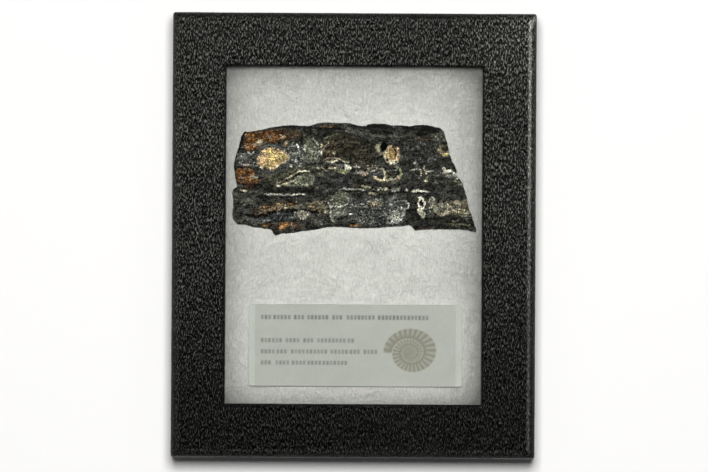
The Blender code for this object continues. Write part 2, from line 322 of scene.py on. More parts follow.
def addFloor():
    half = studio["floorHalf"] * mm
    mesh = bpy.data.meshes.new("floor")
    corners = [(-half, -half, 0), (half, -half, 0), (half, half, 0), (-half, half, 0)]
    mesh.from_pydata(corners, [], [(0, 1, 2, 3)])
    floor = bpy.data.objects.new("floor", mesh)
    bpy.context.scene.collection.objects.link(floor)
    mesh.materials.append(newMaterial("floorWhite", 0.8, [studio["floorTone"]] * 3)[0])


addCamera()
addLights()
addFloor()
print("camera, lights and floor done")


# the slice of tooth

stone = {
    "across": 368,               # steps along the face
    "up": 168,                   # steps from the face's lower edge to its upper one
    "rimRows": 11,
    "ragged": 0.5,               # mm, fine roughness of the outline
    "gain": 1.04,                # from the colours as seen to the stone's own
    "wander": 0.8,               # mm, how far the strokes' places are shifted by noise
    "fray": 0.6,                 # mm, unevenness of their edges
    "mottle": 0.8,               # strength of the ground's slow light and dark
    "grain": 2.2,                # strength of the fine light and dark grain
    "lumps": 1.5,                # the same for grain of 2 mm and more
    "layers": 0.6,               # the same for thin streaks along the slice
    "calmLight": 0.6,            # how much weaker all three are on the lightest colours
    "paleThreads": 0.5,          # strength of the thin pale squiggles
    "darkThreads": 0.75,         # and of the dark ones
    "wornEdge": (0.07, 0.3),     # mm, depth and reach of the wear round the face
    "crustDepth": (0.35, 0.6),   # mm deep, and more for each mm that the crust stands back
    "rimStep": 0.21,             # mm between points along the rim, for its noise
    "rimRough": 0.42,            # mm, how far the rim's noise goes in and out
    "rimIn": 0.14,               # mm, how far it stands in on the whole
    "rimReach": (-0.5, 0.12),    # mm, the furthest in and out
    "backRound": 0.35,           # mm, how far the rim turns in at the back
    "backInset": 0.6,            # mm, how far the sawn back stands in from the outline
}

# the outline, clockwise from its top left corner, as four sides
topSide = [
    (-34.8, 32.6), (-31.5, 33.0), (-29.0, 33.5), (-27.0, 34.0), (-24.6, 34.4), (-22.0, 34.8),
    (-19.0, 34.9), (-16.5, 34.7), (-14.0, 34.7), (-12.6, 35.2), (-11.0, 35.6), (-8.5, 35.8),
    (-5.0, 35.6), (-1.5, 35.6), (0.4, 35.0), (2.0, 34.7), (3.5, 34.7), (4.3, 35.3),
    (6.0, 35.5), (9.8, 35.4), (11.6, 34.9), (14.6, 35.0), (17.4, 34.7), (19.4, 35.1),
    (21.5, 35.2), (23.6, 35.0), (25.4, 34.5), (26.6, 34.4), (28.0, 33.3),
]
rightSide = [
    (28.0, 33.3), (28.5, 31.8), (29.1, 29.6), (29.7, 27.5), (29.9, 25.9), (30.9, 23.5),
    (31.7, 22.3), (32.3, 20.3), (32.1, 19.4), (33.2, 18.0), (34.1, 16.7), (34.9, 14.2),
    (35.6, 11.8), (36.0, 9.2), (36.9, 7.0), (37.8, 4.3), (38.5, 2.2),
]
bottomSide = [
    (38.5, 2.2), (38.2, 1.7), (36.0, 2.1), (33.0, 2.3), (29.0, 2.3), (23.0, 2.3), (20.5, 2.0),
    (19.2, 1.9), (18.2, 3.1), (17.2, 3.6), (16.2, 3.5), (15.4, 3.2), (10.0, 3.0), (7.5, 2.6),
    (5.0, 2.7), (3.5, 2.5), (-1.5, 2.7), (-6.0, 3.0), (-8.0, 2.9), (-10.2, 2.4), (-12.5, 1.9),
    (-17.0, 1.4), (-19.0, 0.9), (-23.0, 0.7), (-24.7, 0.0), (-25.4, 0.6), (-25.8, 1.6),
    (-26.6, 2.1), (-28.8, 2.3), (-30.3, 2.7), (-31.7, 2.6), (-34.0, 3.5), (-36.8, 3.5),
    (-38.2, 5.2),
]
leftSide = [
    (-38.2, 5.2), (-38.4, 6.6), (-38.1, 9.5), (-38.2, 11.6), (-38.5, 13.7), (-38.0, 14.7),
    (-36.9, 15.4), (-37.2, 16.5), (-37.7, 19.5), (-38.0, 22.6), (-37.3, 25.4), (-36.3, 28.6),
    (-35.7, 31.4), (-34.8, 32.6),
]
outline = np.array(topSide + rightSide[1:] + bottomSide[1:] + leftSide[1:-1])
closedOutline = np.vstack([outline, outline[:1]])
seat = {"scale": 0.993, "shift": (0.09, -0.19)}    # from the drawing's millimetres to the case's

# along the top the old outer crust slopes away: place along X, and how far the flat face stands back
crust = [
    (-30.0, 0.3), (-24.0, 0.8), (-15.0, 0.8), (-9.0, 1.5), (-1.0, 1.6), (3.0, 1.2), (5.5, 2.2),
    (9.5, 1.9), (13.0, 1.0), (17.0, 1.2), (21.5, 2.8), (26.0, 1.0), (28.0, 0.3),
]

# hollows in the face: x, y, half width, half height, depth, turn in degrees
hollows = [
    (9.2, 28.2, 0.8, 1.55, 3.0, -8), (11.9, 25.9, 1.9, 2.6, 1.7, 14), (28.4, 27.4, 1.1, 1.2, 0.8, 0),
    (-13.7, 14.3, 1.3, 0.5, 0.7, 14), (11.2, 15.2, 0.5, 0.35, 0.5, 0), (13.0, 23.4, 0.3, 0.35, 0.6, 0),
    (10.4, 24.1, 0.3, 0.6, 0.5, 25), (-34.6, 16.5, 0.6, 0.35, 0.4, 0), (-30.9, 16.1, 0.7, 0.4, 0.4, 0),
    (4.8, 23.2, 0.3, 0.3, 0.3, 0), (17.9, 14.3, 0.3, 0.3, 0.3, 0), (22.8, 8.5, 0.8, 0.7, 0.2, 0),
]

# colours as they are seen through the glass
palette = {
    "ink": (6, 6, 6), "coal": (21, 21, 19), "charcoal": (39, 39, 35), "iron": (59, 59, 53),
    "violet": (36, 35, 37), "navy": (40, 43, 48), "slate": (68, 70, 68), "blueGrey": (112, 117, 116),
    "ash": (110, 111, 100), "silver": (156, 157, 146), "bone": (210, 207, 186), "white": (220, 221, 212),
    "cream": (190, 182, 152), "butter": (196, 176, 114), "amber": (178, 148, 94), "honey": (142, 106, 64),
    "peach": (182, 154, 122), "rose": (160, 146, 130), "rust": (97, 62, 27), "darkRust": (48, 34, 21),
    "umber": (50, 42, 30), "brownOlive": (38, 35, 24), "olive": (74, 73, 55), "sage": (100, 102, 86),
    "paleGreen": (136, 141, 106), "oat": (116, 110, 90),
}

# The markings were drawn on two enlarged sheets, which overlap in the middle. For each sheet:
# where its top left corner lies, in the drawing's mm, and how many of its units go to a mm. The second
# number of a place on it runs down.
sheets = {"left": ((-40.88, 38.03), 38.23), "right": ((-3.03, 38.22), 36.8)}
sheetTurn = 0.28                 # degrees

# The strokes in the order they are laid on. Places and half sizes are in the sheet's units, line widths
# and speck sizes in mm, turns in degrees.
# area: colour, strength, corners
# patch: colour, across, down, half width, half height, turn, strength
# ring: colour, across, down, half width, half height, turn, line width, strength
# line: colour, line width, strength, points
# specks: colour, across, down, half width, half height, speck size, share covered, strength
markings = [
    ("left", [
        # broad zones of the matrix
        ("area", "iron", 0.6, [(90, 910), (300, 930), (420, 1000), (330, 1180), (270, 1310),
            (150, 1320), (90, 1240), (95, 1100)]),
        ("area", "coal", 0.6, [(640, 120), (1000, 140), (1300, 150), (1568, 180), (1568, 230),
            (1300, 230), (1180, 300), (1080, 270), (1000, 260), (930, 280), (900, 180)]),
        ("area", "violet", 0.7, [(1160, 720), (1300, 700), (1480, 720), (1568, 740), (1568, 860),
            (1470, 870), (1380, 880), (1270, 940), (1180, 960), (1080, 880), (1100, 800)]),
    ]),
    ("right", [
        ("area", "coal", 0.6, [(640, 250), (1040, 300), (1070, 440), (1100, 600), (760, 600),
            (680, 560), (640, 420)]),
        ("area", "violet", 0.5, [(640, 760), (1100, 800), (1390, 850), (1400, 960), (1100, 960),
            (760, 900), (640, 850)]),
        ("area", "charcoal", 0.6, [(680, 620), (1100, 620), (1140, 760), (960, 800), (700, 800)]),
        ("area", "slate", 0.6, [(60, 960), (300, 930), (600, 940), (740, 1010), (700, 1120),
            (680, 1260), (400, 1280), (100, 1270), (0, 1250), (0, 1000)]),
        ("area", "ink", 0.6, [(740, 1000), (830, 1000), (840, 1150), (900, 1230), (800, 1260),
            (720, 1260), (700, 1180)]),
        ("area", "coal", 0.75, [(930, 1190), (1200, 1190), (1420, 1180), (1480, 1230), (1520, 1330),
            (1200, 1320), (850, 1320), (800, 1290)]),
    ]),
    ("left", [
        # rust along the top left
        ("area", "rust", 0.85, [(238, 222), (330, 212), (480, 200), (560, 184), (640, 182), (700, 205),
            (715, 250), (690, 300), (620, 335), (540, 345), (450, 330), (400, 390), (330, 430),
            (262, 445), (232, 400), (228, 320)]),
        ("area", "darkRust", 0.9, [(610, 190), (700, 172), (880, 190), (905, 240), (830, 290),
            (760, 300), (700, 320), (650, 330), (620, 300)]),
        ("area", "umber", 0.7, [(780, 170), (940, 190), (1000, 230), (940, 290), (860, 290),
            (800, 280)]),
        ("specks", "darkRust", 420, 290, 220, 100, 0.8, 0.35, 0.8),
        ("specks", "honey", 330, 330, 130, 100, 0.6, 0.3, 0.7),
        ("specks", "peach", 300, 330, 110, 100, 0.45, 0.2, 0.6),
        ("area", "oat", 0.5, [(345, 340), (450, 310), (480, 340), (400, 390), (350, 390)]),
        ("patch", "cream", 415, 322, 32, 24, 30, 0.95), ("patch", "rose", 368, 358, 26, 20, 30, 0.8),
        ("line", "peach", 0.35, 0.8, [(650, 290), (690, 280), (700, 250), (665, 240)]),
        ("patch", "amber", 705, 268, 14, 22, 0, 0.7), ("patch", "cream", 742, 330, 22, 20, 0, 0.85),
        ("patch", "honey", 718, 366, 20, 14, 0, 0.8), ("specks", "oat", 760, 350, 70, 45, 0.55, 0.3, 0.8),
        # rust by the left edge
        ("area", "rust", 0.9, [(140, 640), (250, 625), (330, 650), (370, 700), (410, 760), (420, 800),
            (330, 830), (240, 830), (160, 840), (130, 780), (125, 700)]),
        ("patch", "oat", 350, 745, 48, 28, -20, 0.7), ("patch", "silver", 372, 750, 34, 13, -25, 0.8),
        ("specks", "honey", 230, 700, 120, 90, 0.6, 0.3, 0.75),
        ("specks", "oat", 240, 720, 130, 90, 0.5, 0.24, 0.75),
        ("specks", "darkRust", 260, 760, 160, 90, 0.7, 0.3, 0.85),
        ("patch", "darkRust", 310, 865, 105, 26, 0, 0.7),
        ("line", "ink", 0.55, 0.95, [(165, 832), (200, 842), (240, 836)]),
        ("line", "ink", 0.5, 0.9, [(345, 855), (375, 845), (405, 842)]),
        ("area", "olive", 0.6, [(450, 690), (700, 670), (900, 625), (1160, 600), (1160, 670),
            (900, 680), (700, 760), (640, 820), (450, 850)]),
        ("line", "ink", 0.7, 0.9, [(226, 222), (200, 300), (168, 400), (150, 452)]),
        ("line", "ink", 0.4, 0.8, [(150, 452), (120, 540), (122, 640), (140, 760)]),
        # slate round the golden patch
        ("area", "slate", 0.85, [(380, 430), (450, 375), (540, 345), (640, 350), (720, 380), (740, 420),
            (700, 430), (640, 415), (590, 385), (510, 385), (450, 420), (400, 475), (380, 540),
            (355, 520)]),
        ("area", "slate", 0.8, [(430, 665), (540, 675), (600, 660), (660, 620), (720, 580), (790, 560),
            (830, 600), (760, 650), (700, 690), (620, 720), (540, 730), (460, 710)]),
        ("area", "slate", 0.85, [(160, 460), (260, 450), (340, 470), (380, 540), (390, 610), (340, 640),
            (240, 625), (150, 610), (135, 540)]),
        ("specks", "silver", 260, 540, 120, 90, 0.6, 0.3, 0.75),
        ("specks", "ink", 260, 550, 120, 90, 0.6, 0.25, 0.8),
        ("line", "white", 0.4, 0.9, [(280, 450), (310, 472)]),
        ("patch", "white", 342, 458, 12, 12, 0, 0.8),
        ("line", "rose", 0.4, 0.7, [(230, 612), (280, 600), (320, 608)]),
        ("line", "ink", 0.5, 0.8, [(130, 628), (250, 622), (330, 640)]),
        ("specks", "navy", 560, 700, 160, 40, 0.7, 0.3, 0.6),
        ("specks", "sage", 470, 715, 90, 40, 0.6, 0.25, 0.6),
        # the golden patch
        ("area", "rose", 0.8, [(376, 545), (402, 476), (452, 424), (515, 386), (590, 390), (640, 424),
            (702, 431), (765, 461), (787, 510), (747, 556), (700, 582), (645, 622), (592, 657), (540, 667),
            (488, 651), (428, 657), (393, 605)]),
        ("area", "amber", 1, [(392, 540), (415, 485), (462, 438), (520, 402), (585, 406), (635, 440),
            (700, 448), (752, 475), (768, 508), (735, 540), (690, 565), (640, 605), (588, 640), (540, 650),
            (492, 632), (440, 640), (408, 598)]),
        ("area", "butter", 0.85, [(500, 430), (580, 425), (640, 460), (720, 470), (740, 510),
            (680, 550), (620, 590), (560, 630), (520, 600), (490, 540), (500, 480)]),
        ("area", "peach", 0.7, [(405, 540), (440, 480), (490, 440), (520, 500), (500, 560), (460, 600),
            (420, 590)]),
        ("specks", "bone", 580, 510, 170, 110, 0.5, 0.25, 0.7),
        ("specks", "honey", 590, 520, 160, 110, 0.55, 0.35, 0.75),
        ("specks", "umber", 590, 500, 150, 100, 0.4, 0.12, 0.9),
        ("patch", "cream", 440, 625, 26, 14, -20, 0.9), ("patch", "umber", 520, 548, 9, 10, 0, 0.9),
        ("patch", "umber", 548, 520, 8, 8, 0, 0.8), ("patch", "umber", 655, 532, 8, 12, 0, 0.7),
        # grey specks and the whorl
        ("area", "slate", 0.75, [(770, 330), (860, 330), (940, 380), (1000, 520), (980, 600), (900, 640),
            (830, 620), (790, 560), (785, 500), (760, 450)]),
        ("specks", "silver", 850, 480, 120, 160, 0.55, 0.34, 0.9),
        ("specks", "ink", 850, 480, 120, 160, 0.6, 0.25, 0.8),
        ("patch", "white", 855, 555, 14, 12, 0, 0.95),
        ("line", "white", 0.35, 0.9, [(770, 590), (800, 630)]),
        ("line", "white", 0.35, 0.9, [(868, 362), (884, 392)]),
        ("area", "sage", 0.8, [(950, 300), (1010, 275), (1080, 290), (1140, 340), (1165, 420),
            (1160, 500), (1120, 560), (1050, 590), (980, 560), (960, 480), (945, 380)]),
        ("area", "paleGreen", 0.55, [(985, 310), (1020, 300), (1045, 330), (1020, 360), (990, 350)]),
        ("line", "ink", 0.35, 0.8, [(935, 285), (985, 255), (1040, 262), (1075, 300)]),
        ("line", "silver", 0.35, 0.7, [(1060, 290), (1110, 340), (1132, 400), (1128, 460),
            (1105, 520)]),
        ("line", "silver", 0.3, 0.6, [(1040, 330), (1085, 370), (1100, 430), (1085, 500)]),
        ("line", "silver", 0.3, 0.5, [(1000, 400), (1040, 420), (1050, 480), (1020, 540)]),
        ("line", "ink", 0.3, 0.7, [(1050, 300), (1096, 350), (1116, 420), (1100, 500)]),
        ("line", "ink", 0.3, 0.6, [(1020, 360), (1065, 400), (1072, 460), (1050, 540)]),
        ("line", "bone", 0.5, 0.9, [(957, 370), (960, 410)]),
        ("specks", "ink", 1040, 430, 110, 150, 0.6, 0.25, 0.75),
        ("line", "silver", 0.35, 0.9, [(1250, 325), (1205, 385), (1172, 425), (1160, 470)]),
        ("line", "cream", 0.35, 0.7, [(1160, 345), (1162, 385)]),
        # brown middle
        ("area", "brownOlive", 0.85, [(1180, 300), (1240, 330), (1300, 235), (1420, 225), (1568, 235),
            (1568, 545), (1480, 545), (1420, 520), (1350, 500), (1260, 520), (1200, 510), (1175, 470)]),
    ]),
    ("right", [
        ("area", "brownOlive", 0.8, [(0, 300), (180, 290), (330, 330), (360, 420), (330, 560),
            (250, 570), (60, 560), (0, 540)]),
    ]),
    ("left", [
        ("specks", "honey", 1260, 420, 80, 110, 0.6, 0.3, 0.75),
        ("specks", "olive", 1380, 330, 180, 120, 0.8, 0.3, 0.6),
        ("specks", "ink", 1420, 380, 200, 160, 0.7, 0.28, 0.8),
    ]),
    ("right", [
        ("specks", "ink", 150, 420, 200, 140, 0.7, 0.28, 0.8),
        ("specks", "umber", 150, 430, 200, 140, 0.7, 0.3, 0.7),
    ]),
    ("left", [
        ("line", "olive", 0.35, 0.7, [(1180, 310), (1230, 270), (1300, 240)]),
    ]),
    ("right", [
        ("line", "darkRust", 0.4, 0.5, [(0, 300), (60, 306), (140, 300)]),
    ]),
    ("left", [
        ("patch", "cream", 1312, 462, 20, 9, 0, 0.85),
        # split lens
        ("area", "coal", 0.8, [(430, 740), (560, 760), (640, 790), (600, 850), (700, 870), (960, 880),
            (1000, 910), (960, 945), (700, 945), (460, 940), (350, 900), (330, 850), (420, 820)]),
        ("specks", "olive", 600, 790, 160, 60, 0.8, 0.3, 0.6),
        ("area", "oat", 0.8, [(590, 838), (680, 792), (760, 755), (830, 718), (880, 684), (910, 684),
            (850, 730), (790, 768), (720, 800), (640, 836)]),
        ("area", "sage", 0.9, [(630, 856), (700, 828), (770, 802), (830, 766), (880, 728), (950, 708),
            (1040, 708), (1082, 742), (1086, 790), (1045, 832), (965, 866), (860, 860), (740, 862)]),
        ("specks", "paleGreen", 900, 790, 170, 60, 0.6, 0.34, 0.6),
        ("line", "sage", 0.5, 0.9, [(620, 858), (690, 840), (760, 820), (830, 800)]),
        ("line", "cream", 0.34, 0.9, [(640, 852), (700, 836), (760, 818), (810, 798), (850, 780)]),
        ("line", "cream", 0.3, 0.85, [(740, 766), (800, 736), (850, 708), (880, 690)]),
        ("line", "bone", 0.3, 0.85, [(890, 684), (960, 677), (1022, 682)]),
        ("specks", "silver", 950, 780, 130, 60, 0.5, 0.25, 0.7),
        ("specks", "coal", 950, 790, 130, 60, 0.5, 0.28, 0.75),
        ("line", "ink", 0.3, 1, [(640, 838), (700, 816), (760, 790), (810, 764), (850, 733),
            (890, 706), (950, 694), (1040, 693), (1090, 690), (1150, 672), (1180, 650)]),
        ("area", "olive", 0.6, [(1080, 720), (1150, 690), (1200, 700), (1180, 740), (1110, 760)]),
        ("area", "ink", 0.95, [(980, 920), (1030, 890), (1080, 900), (1070, 935), (1010, 945)]),
        ("patch", "rose", 1110, 875, 16, 14, 0, 0.6),
        # pale seam and left foot
        ("line", "ink", 0.4, 0.7, [(370, 985), (600, 995), (820, 985), (960, 975)]),
        ("line", "silver", 0.32, 0.8, [(470, 958), (540, 955), (600, 960), (700, 966), (800, 964),
            (880, 955), (960, 960)]),
        ("line", "bone", 0.4, 0.9, [(560, 957), (625, 961)]),
        ("line", "bone", 0.34, 0.85, [(815, 966), (900, 955)]),
        ("line", "cream", 0.5, 0.95, [(188, 905), (255, 925)]),
        ("line", "silver", 0.45, 0.9, [(215, 1085), (250, 1065)]),
        ("line", "ink", 0.45, 0.8, [(110, 1180), (140, 1080), (190, 1030)]),
        ("line", "ink", 0.4, 0.7, [(190, 1210), (230, 1140), (300, 1090)]),
        ("specks", "darkRust", 340, 1200, 120, 70, 0.8, 0.3, 0.7),
        ("specks", "olive", 180, 1270, 90, 50, 0.7, 0.3, 0.6),
        # brown band and its sawtooth crack
        ("area", "umber", 0.8, [(330, 1190), (420, 1140), (480, 1110), (560, 1060), (660, 1035),
            (760, 1040), (860, 1060), (900, 1100), (880, 1140), (780, 1145), (700, 1145), (620, 1155),
            (560, 1175), (500, 1195), (440, 1195), (390, 1215)]),
        ("line", "oat", 0.9, 0.7, [(420, 1180), (480, 1160), (560, 1135), (640, 1115), (740, 1105),
            (860, 1110)]),
        ("specks", "rust", 480, 1160, 120, 60, 0.7, 0.4, 0.8),
        ("specks", "honey", 540, 1140, 130, 60, 0.6, 0.34, 0.8),
        ("specks", "honey", 720, 1100, 170, 55, 0.65, 0.3, 0.75),
        ("specks", "cream", 720, 1115, 190, 45, 0.45, 0.26, 0.8),
        ("specks", "peach", 600, 1140, 110, 36, 0.5, 0.35, 0.8),
        ("specks", "ink", 620, 1120, 240, 70, 0.5, 0.22, 0.85),
        ("area", "oat", 0.75, [(990, 1060), (1080, 1035), (1170, 1050), (1230, 1090), (1240, 1150),
            (1170, 1170), (1080, 1155), (1010, 1120)]),
        ("specks", "umber", 1110, 1110, 130, 60, 0.6, 0.35, 0.8),
        ("specks", "honey", 1110, 1100, 120, 55, 0.6, 0.3, 0.8),
        ("patch", "cream", 1215, 1165, 24, 20, 0, 0.8),
        ("line", "ink", 0.8, 1, [(195, 1195), (260, 1205), (330, 1212), (385, 1228), (440, 1202),
            (488, 1215), (520, 1182), (560, 1192), (600, 1162), (640, 1182), (680, 1150), (722, 1166),
            (760, 1148), (802, 1162), (850, 1152), (900, 1162), (950, 1146), (1000, 1168), (1060, 1172),
            (1100, 1158)]),
        ("patch", "ink", 430, 1160, 14, 10, 0, 0.9), ("patch", "ink", 620, 1130, 16, 9, 0, 0.9),
        ("patch", "ink", 850, 1135, 18, 9, 0, 0.8),
        # blue flecks and the white cluster
        ("area", "slate", 0.8, [(270, 1250), (400, 1245), (520, 1230), (560, 1280), (450, 1310),
            (330, 1325), (270, 1290)]),
        ("specks", "blueGrey", 410, 1275, 140, 40, 0.5, 0.3, 0.8),
        ("specks", "ink", 410, 1275, 140, 40, 0.5, 0.25, 0.9),
        ("area", "navy", 0.85, [(520, 1225), (600, 1190), (700, 1175), (800, 1185), (830, 1240),
            (760, 1280), (640, 1270), (540, 1260)]),
        ("specks", "blueGrey", 660, 1230, 170, 50, 0.5, 0.28, 0.9),
        ("specks", "white", 660, 1230, 170, 50, 0.4, 0.12, 0.8),
        ("area", "ash", 0.8, [(860, 1180), (920, 1160), (1000, 1165), (1030, 1200), (980, 1240),
            (920, 1250), (870, 1230)]),
        ("line", "rose", 0.4, 0.85, [(905, 1195), (940, 1165), (985, 1175), (1000, 1200), (955, 1225),
            (935, 1250)]),
        ("specks", "white", 930, 1210, 100, 55, 0.45, 0.3, 0.9),
        ("area", "iron", 0.7, [(1030, 1200), (1200, 1190), (1240, 1250), (1200, 1330), (1060, 1330),
            (960, 1300), (980, 1240)]),
        ("specks", "silver", 1090, 1260, 160, 80, 0.55, 0.24, 0.75),
        ("specks", "ink", 1090, 1260, 170, 80, 0.6, 0.3, 0.8),
        # orange lumps at the foot
        ("area", "umber", 0.85, [(430, 1310), (500, 1290), (560, 1310), (560, 1355), (490, 1368),
            (430, 1350)]),
        ("patch", "honey", 480, 1335, 34, 16, 0, 0.55),
        ("area", "darkRust", 0.85, [(590, 1310), (650, 1285), (690, 1300), (680, 1370), (640, 1420),
            (600, 1400), (585, 1350)]),
        ("area", "honey", 0.8, [(690, 1300), (750, 1285), (775, 1330), (740, 1370), (690, 1380),
            (650, 1350)]),
        ("patch", "peach", 665, 1368, 18, 16, 0, 0.8), ("patch", "ink", 640, 1335, 12, 16, 0, 0.8),
        ("area", "rust", 0.7, [(790, 1290), (890, 1300), (910, 1340), (840, 1365), (790, 1345)]),
        ("patch", "cream", 800, 1320, 9, 14, 0, 0.7),
        ("line", "navy", 0.5, 0.7, [(545, 1210), (570, 1290), (590, 1340)]),
        ("line", "ink", 0.45, 0.8, [(560, 1300), (600, 1290), (640, 1280), (760, 1275)]),
        ("line", "ink", 0.5, 0.8, [(1130, 1345), (1250, 1340), (1400, 1325), (1568, 1320)]),
        ("line", "slate", 0.3, 0.6, [(1200, 1330), (1330, 1305), (1500, 1310)]),
        # bone seam and pale green lens
        ("line", "rose", 0.3, 0.7, [(1180, 545), (1250, 520), (1330, 515), (1400, 535)]),
        ("line", "oat", 0.34, 0.8, [(1190, 600), (1215, 560), (1255, 548), (1300, 552)]),
        ("line", "bone", 0.4, 0.9, [(1235, 562), (1300, 572)]),
        ("line", "cream", 0.3, 0.85, [(1310, 572), (1345, 548), (1385, 530), (1420, 560), (1490, 572)]),
        ("line", "oat", 0.36, 0.85, [(1172, 620), (1185, 650), (1210, 668), (1250, 652)]),
        ("line", "cream", 0.34, 0.9, [(1250, 652), (1290, 640), (1340, 636), (1400, 640)]),
        ("area", "paleGreen", 0.85, [(1310, 650), (1400, 648), (1470, 672), (1500, 690), (1450, 715),
            (1380, 695), (1320, 672)]),
        ("line", "ink", 0.25, 0.6, [(1340, 668), (1400, 672), (1450, 690)]),
        ("area", "blueGrey", 0.7, [(1350, 590), (1420, 585), (1430, 620), (1370, 625)]),
        ("line", "ink", 0.3, 0.8, [(1340, 580), (1400, 575), (1440, 590), (1450, 620), (1400, 640)]),
        ("area", "bone", 0.95, [(1440, 592), (1480, 600), (1525, 625), (1530, 650), (1490, 660),
            (1450, 640)]),
        ("patch", "ink", 1455, 612, 9, 10, 0, 0.7),
    ]),
    ("right", [
        ("area", "bone", 0.95, [(0, 570), (38, 580), (76, 615), (60, 640), (0, 640)]),
    ]),
    ("left", [
        ("specks", "oat", 1260, 610, 110, 40, 0.5, 0.3, 0.8),
        ("specks", "ink", 1250, 615, 110, 40, 0.5, 0.25, 0.8),
    ]),
    ("right", [
        # cream run to the boxes
        ("patch", "bone", 130, 602, 36, 11, 0, 0.9),
        ("area", "rose", 0.85, [(125, 665), (180, 650), (240, 655), (275, 680), (230, 708),
            (170, 690)]),
        ("specks", "white", 195, 672, 75, 28, 0.4, 0.3, 0.8), ("patch", "honey", 235, 696, 20, 8, 0, 0.8),
        ("area", "oat", 0.9, [(262, 625), (318, 578), (385, 588), (372, 620), (312, 640), (272, 655)]),
        ("specks", "cream", 322, 610, 60, 32, 0.45, 0.4, 0.9), ("patch", "umber", 325, 622, 9, 8, 0, 0.8),
        ("line", "silver", 0.38, 0.9, [(290, 660), (340, 642), (400, 630), (450, 634)]),
        ("area", "slate", 0.75, [(340, 665), (430, 650), (440, 710), (380, 725), (330, 700)]),
        ("area", "brownOlive", 0.85, [(470, 650), (620, 650), (625, 740), (480, 742)]),
        ("line", "cream", 0.5, 0.9, [(455, 640), (462, 700), (455, 752)]),
        ("line", "cream", 0.48, 0.9, [(330, 712), (370, 745), (420, 752), (480, 755), (540, 745),
            (600, 742)]),
        ("patch", "peach", 360, 738, 32, 13, -15, 0.8),
        ("line", "paleGreen", 0.5, 0.9, [(640, 625), (648, 690), (640, 745)]),
        ("area", "rose", 0.8, [(590, 700), (630, 700), (640, 735), (600, 735)]),
        ("patch", "peach", 632, 735, 14, 14, 0, 0.8),
        ("area", "olive", 0.8, [(365, 765), (480, 775), (640, 760), (560, 803), (420, 803)]),
        ("line", "silver", 0.25, 0.7, [(480, 655), (540, 640), (610, 635)]),
        ("patch", "silver", 600, 605, 22, 10, 0, 0.5),
        ("line", "ash", 0.25, 0.6, [(540, 730), (575, 690), (600, 670)]),
        # lined hole and cup
        ("area", "oat", 0.95, [(352, 350), (385, 325), (415, 335), (420, 400), (440, 435), (480, 425),
            (455, 480), (400, 465), (362, 415)]),
        ("area", "cream", 0.9, [(368, 380), (395, 345), (408, 400), (435, 442), (470, 432), (440, 462),
            (390, 430)]),
        ("patch", "cream", 540, 462, 92, 112, 14, 0.9), ("patch", "peach", 560, 455, 78, 104, 14, 0.6),
        ("patch", "honey", 556, 452, 52, 84, 12, 0.75), ("patch", "amber", 530, 470, 36, 50, 10, 0.85),
        ("patch", "butter", 505, 455, 26, 40, 10, 0.8),
        ("line", "ink", 0.42, 0.95, [(556, 372), (584, 405), (590, 450), (578, 490)]),
        ("line", "umber", 0.4, 0.9, [(570, 380), (600, 430), (594, 480), (570, 510)]),
        ("line", "ink", 0.3, 0.8, [(480, 420), (500, 372), (530, 350), (560, 352)]),
        ("line", "cream", 0.4, 0.9, [(600, 390), (612, 440), (600, 500)]),
        ("line", "rust", 0.35, 0.6, [(625, 400), (636, 440), (628, 480)]),
        ("patch", "bone", 560, 548, 48, 24, 0, 0.95),
        ("specks", "umber", 545, 470, 70, 100, 0.5, 0.2, 0.85), ("patch", "ink", 492, 522, 13, 24, 25, 1),
        ("patch", "ink", 590, 542, 14, 14, 0, 1), ("patch", "ink", 447, 368, 36, 56, -8, 1),
        # dark right side
        ("specks", "slate", 880, 420, 240, 170, 0.7, 0.4, 0.7),
        ("specks", "blueGrey", 880, 420, 230, 150, 0.5, 0.24, 0.7),
        ("specks", "violet", 880, 420, 230, 150, 0.6, 0.3, 0.7),
        ("area", "umber", 0.7, [(770, 260), (880, 265), (960, 250), (1020, 235), (1010, 285),
            (900, 310), (800, 305)]),
        ("specks", "honey", 850, 290, 90, 30, 0.5, 0.18, 0.5),
        ("area", "iron", 0.5, [(1040, 200), (1140, 180), (1180, 290), (1120, 320), (1050, 290)]),
        ("specks", "rose", 1120, 260, 60, 60, 0.5, 0.18, 0.5),
        ("area", "oat", 0.75, [(1062, 395), (1105, 345), (1170, 338), (1200, 375), (1205, 440),
            (1165, 485), (1100, 475), (1070, 430)]),
        ("specks", "cream", 1110, 420, 60, 70, 0.45, 0.3, 0.8),
        ("specks", "ink", 1110, 400, 70, 80, 0.5, 0.25, 0.8),
        ("area", "darkRust", 0.9, [(1120, 380), (1160, 360), (1195, 385), (1190, 420), (1140, 425)]),
        ("patch", "butter", 1170, 462, 38, 15, 10, 0.8), ("patch", "cream", 1155, 478, 16, 9, 0, 0.8),
        ("area", "coal", 0.7, [(1110, 500), (1210, 490), (1290, 640), (1230, 640), (1140, 590)]),
        ("patch", "silver", 808, 552, 15, 15, 0, 0.75),
        ("line", "silver", 0.38, 0.8, [(775, 640), (810, 630), (860, 626), (885, 660), (878, 705)]),
        ("line", "silver", 0.4, 0.8, [(935, 640), (975, 650), (1020, 655)]),
        ("line", "cream", 0.35, 0.7, [(915, 600), (920, 640), (950, 680)]),
        ("area", "rose", 0.6, [(870, 650), (900, 640), (900, 690), (875, 710)]),
        ("line", "darkRust", 0.4, 0.95, [(898, 645), (905, 675), (900, 705)]),
        ("area", "olive", 0.75, [(925, 690), (960, 680), (960, 760), (930, 770)]),
        ("patch", "cream", 940, 765, 20, 13, 0, 0.9),
        ("specks", "silver", 930, 680, 120, 90, 0.45, 0.2, 0.75),
        ("specks", "ink", 930, 690, 130, 90, 0.5, 0.25, 0.8),
        # white streak at the right
        ("area", "ash", 0.7, [(1150, 640), (1240, 660), (1300, 720), (1240, 735), (1170, 720),
            (1130, 680)]),
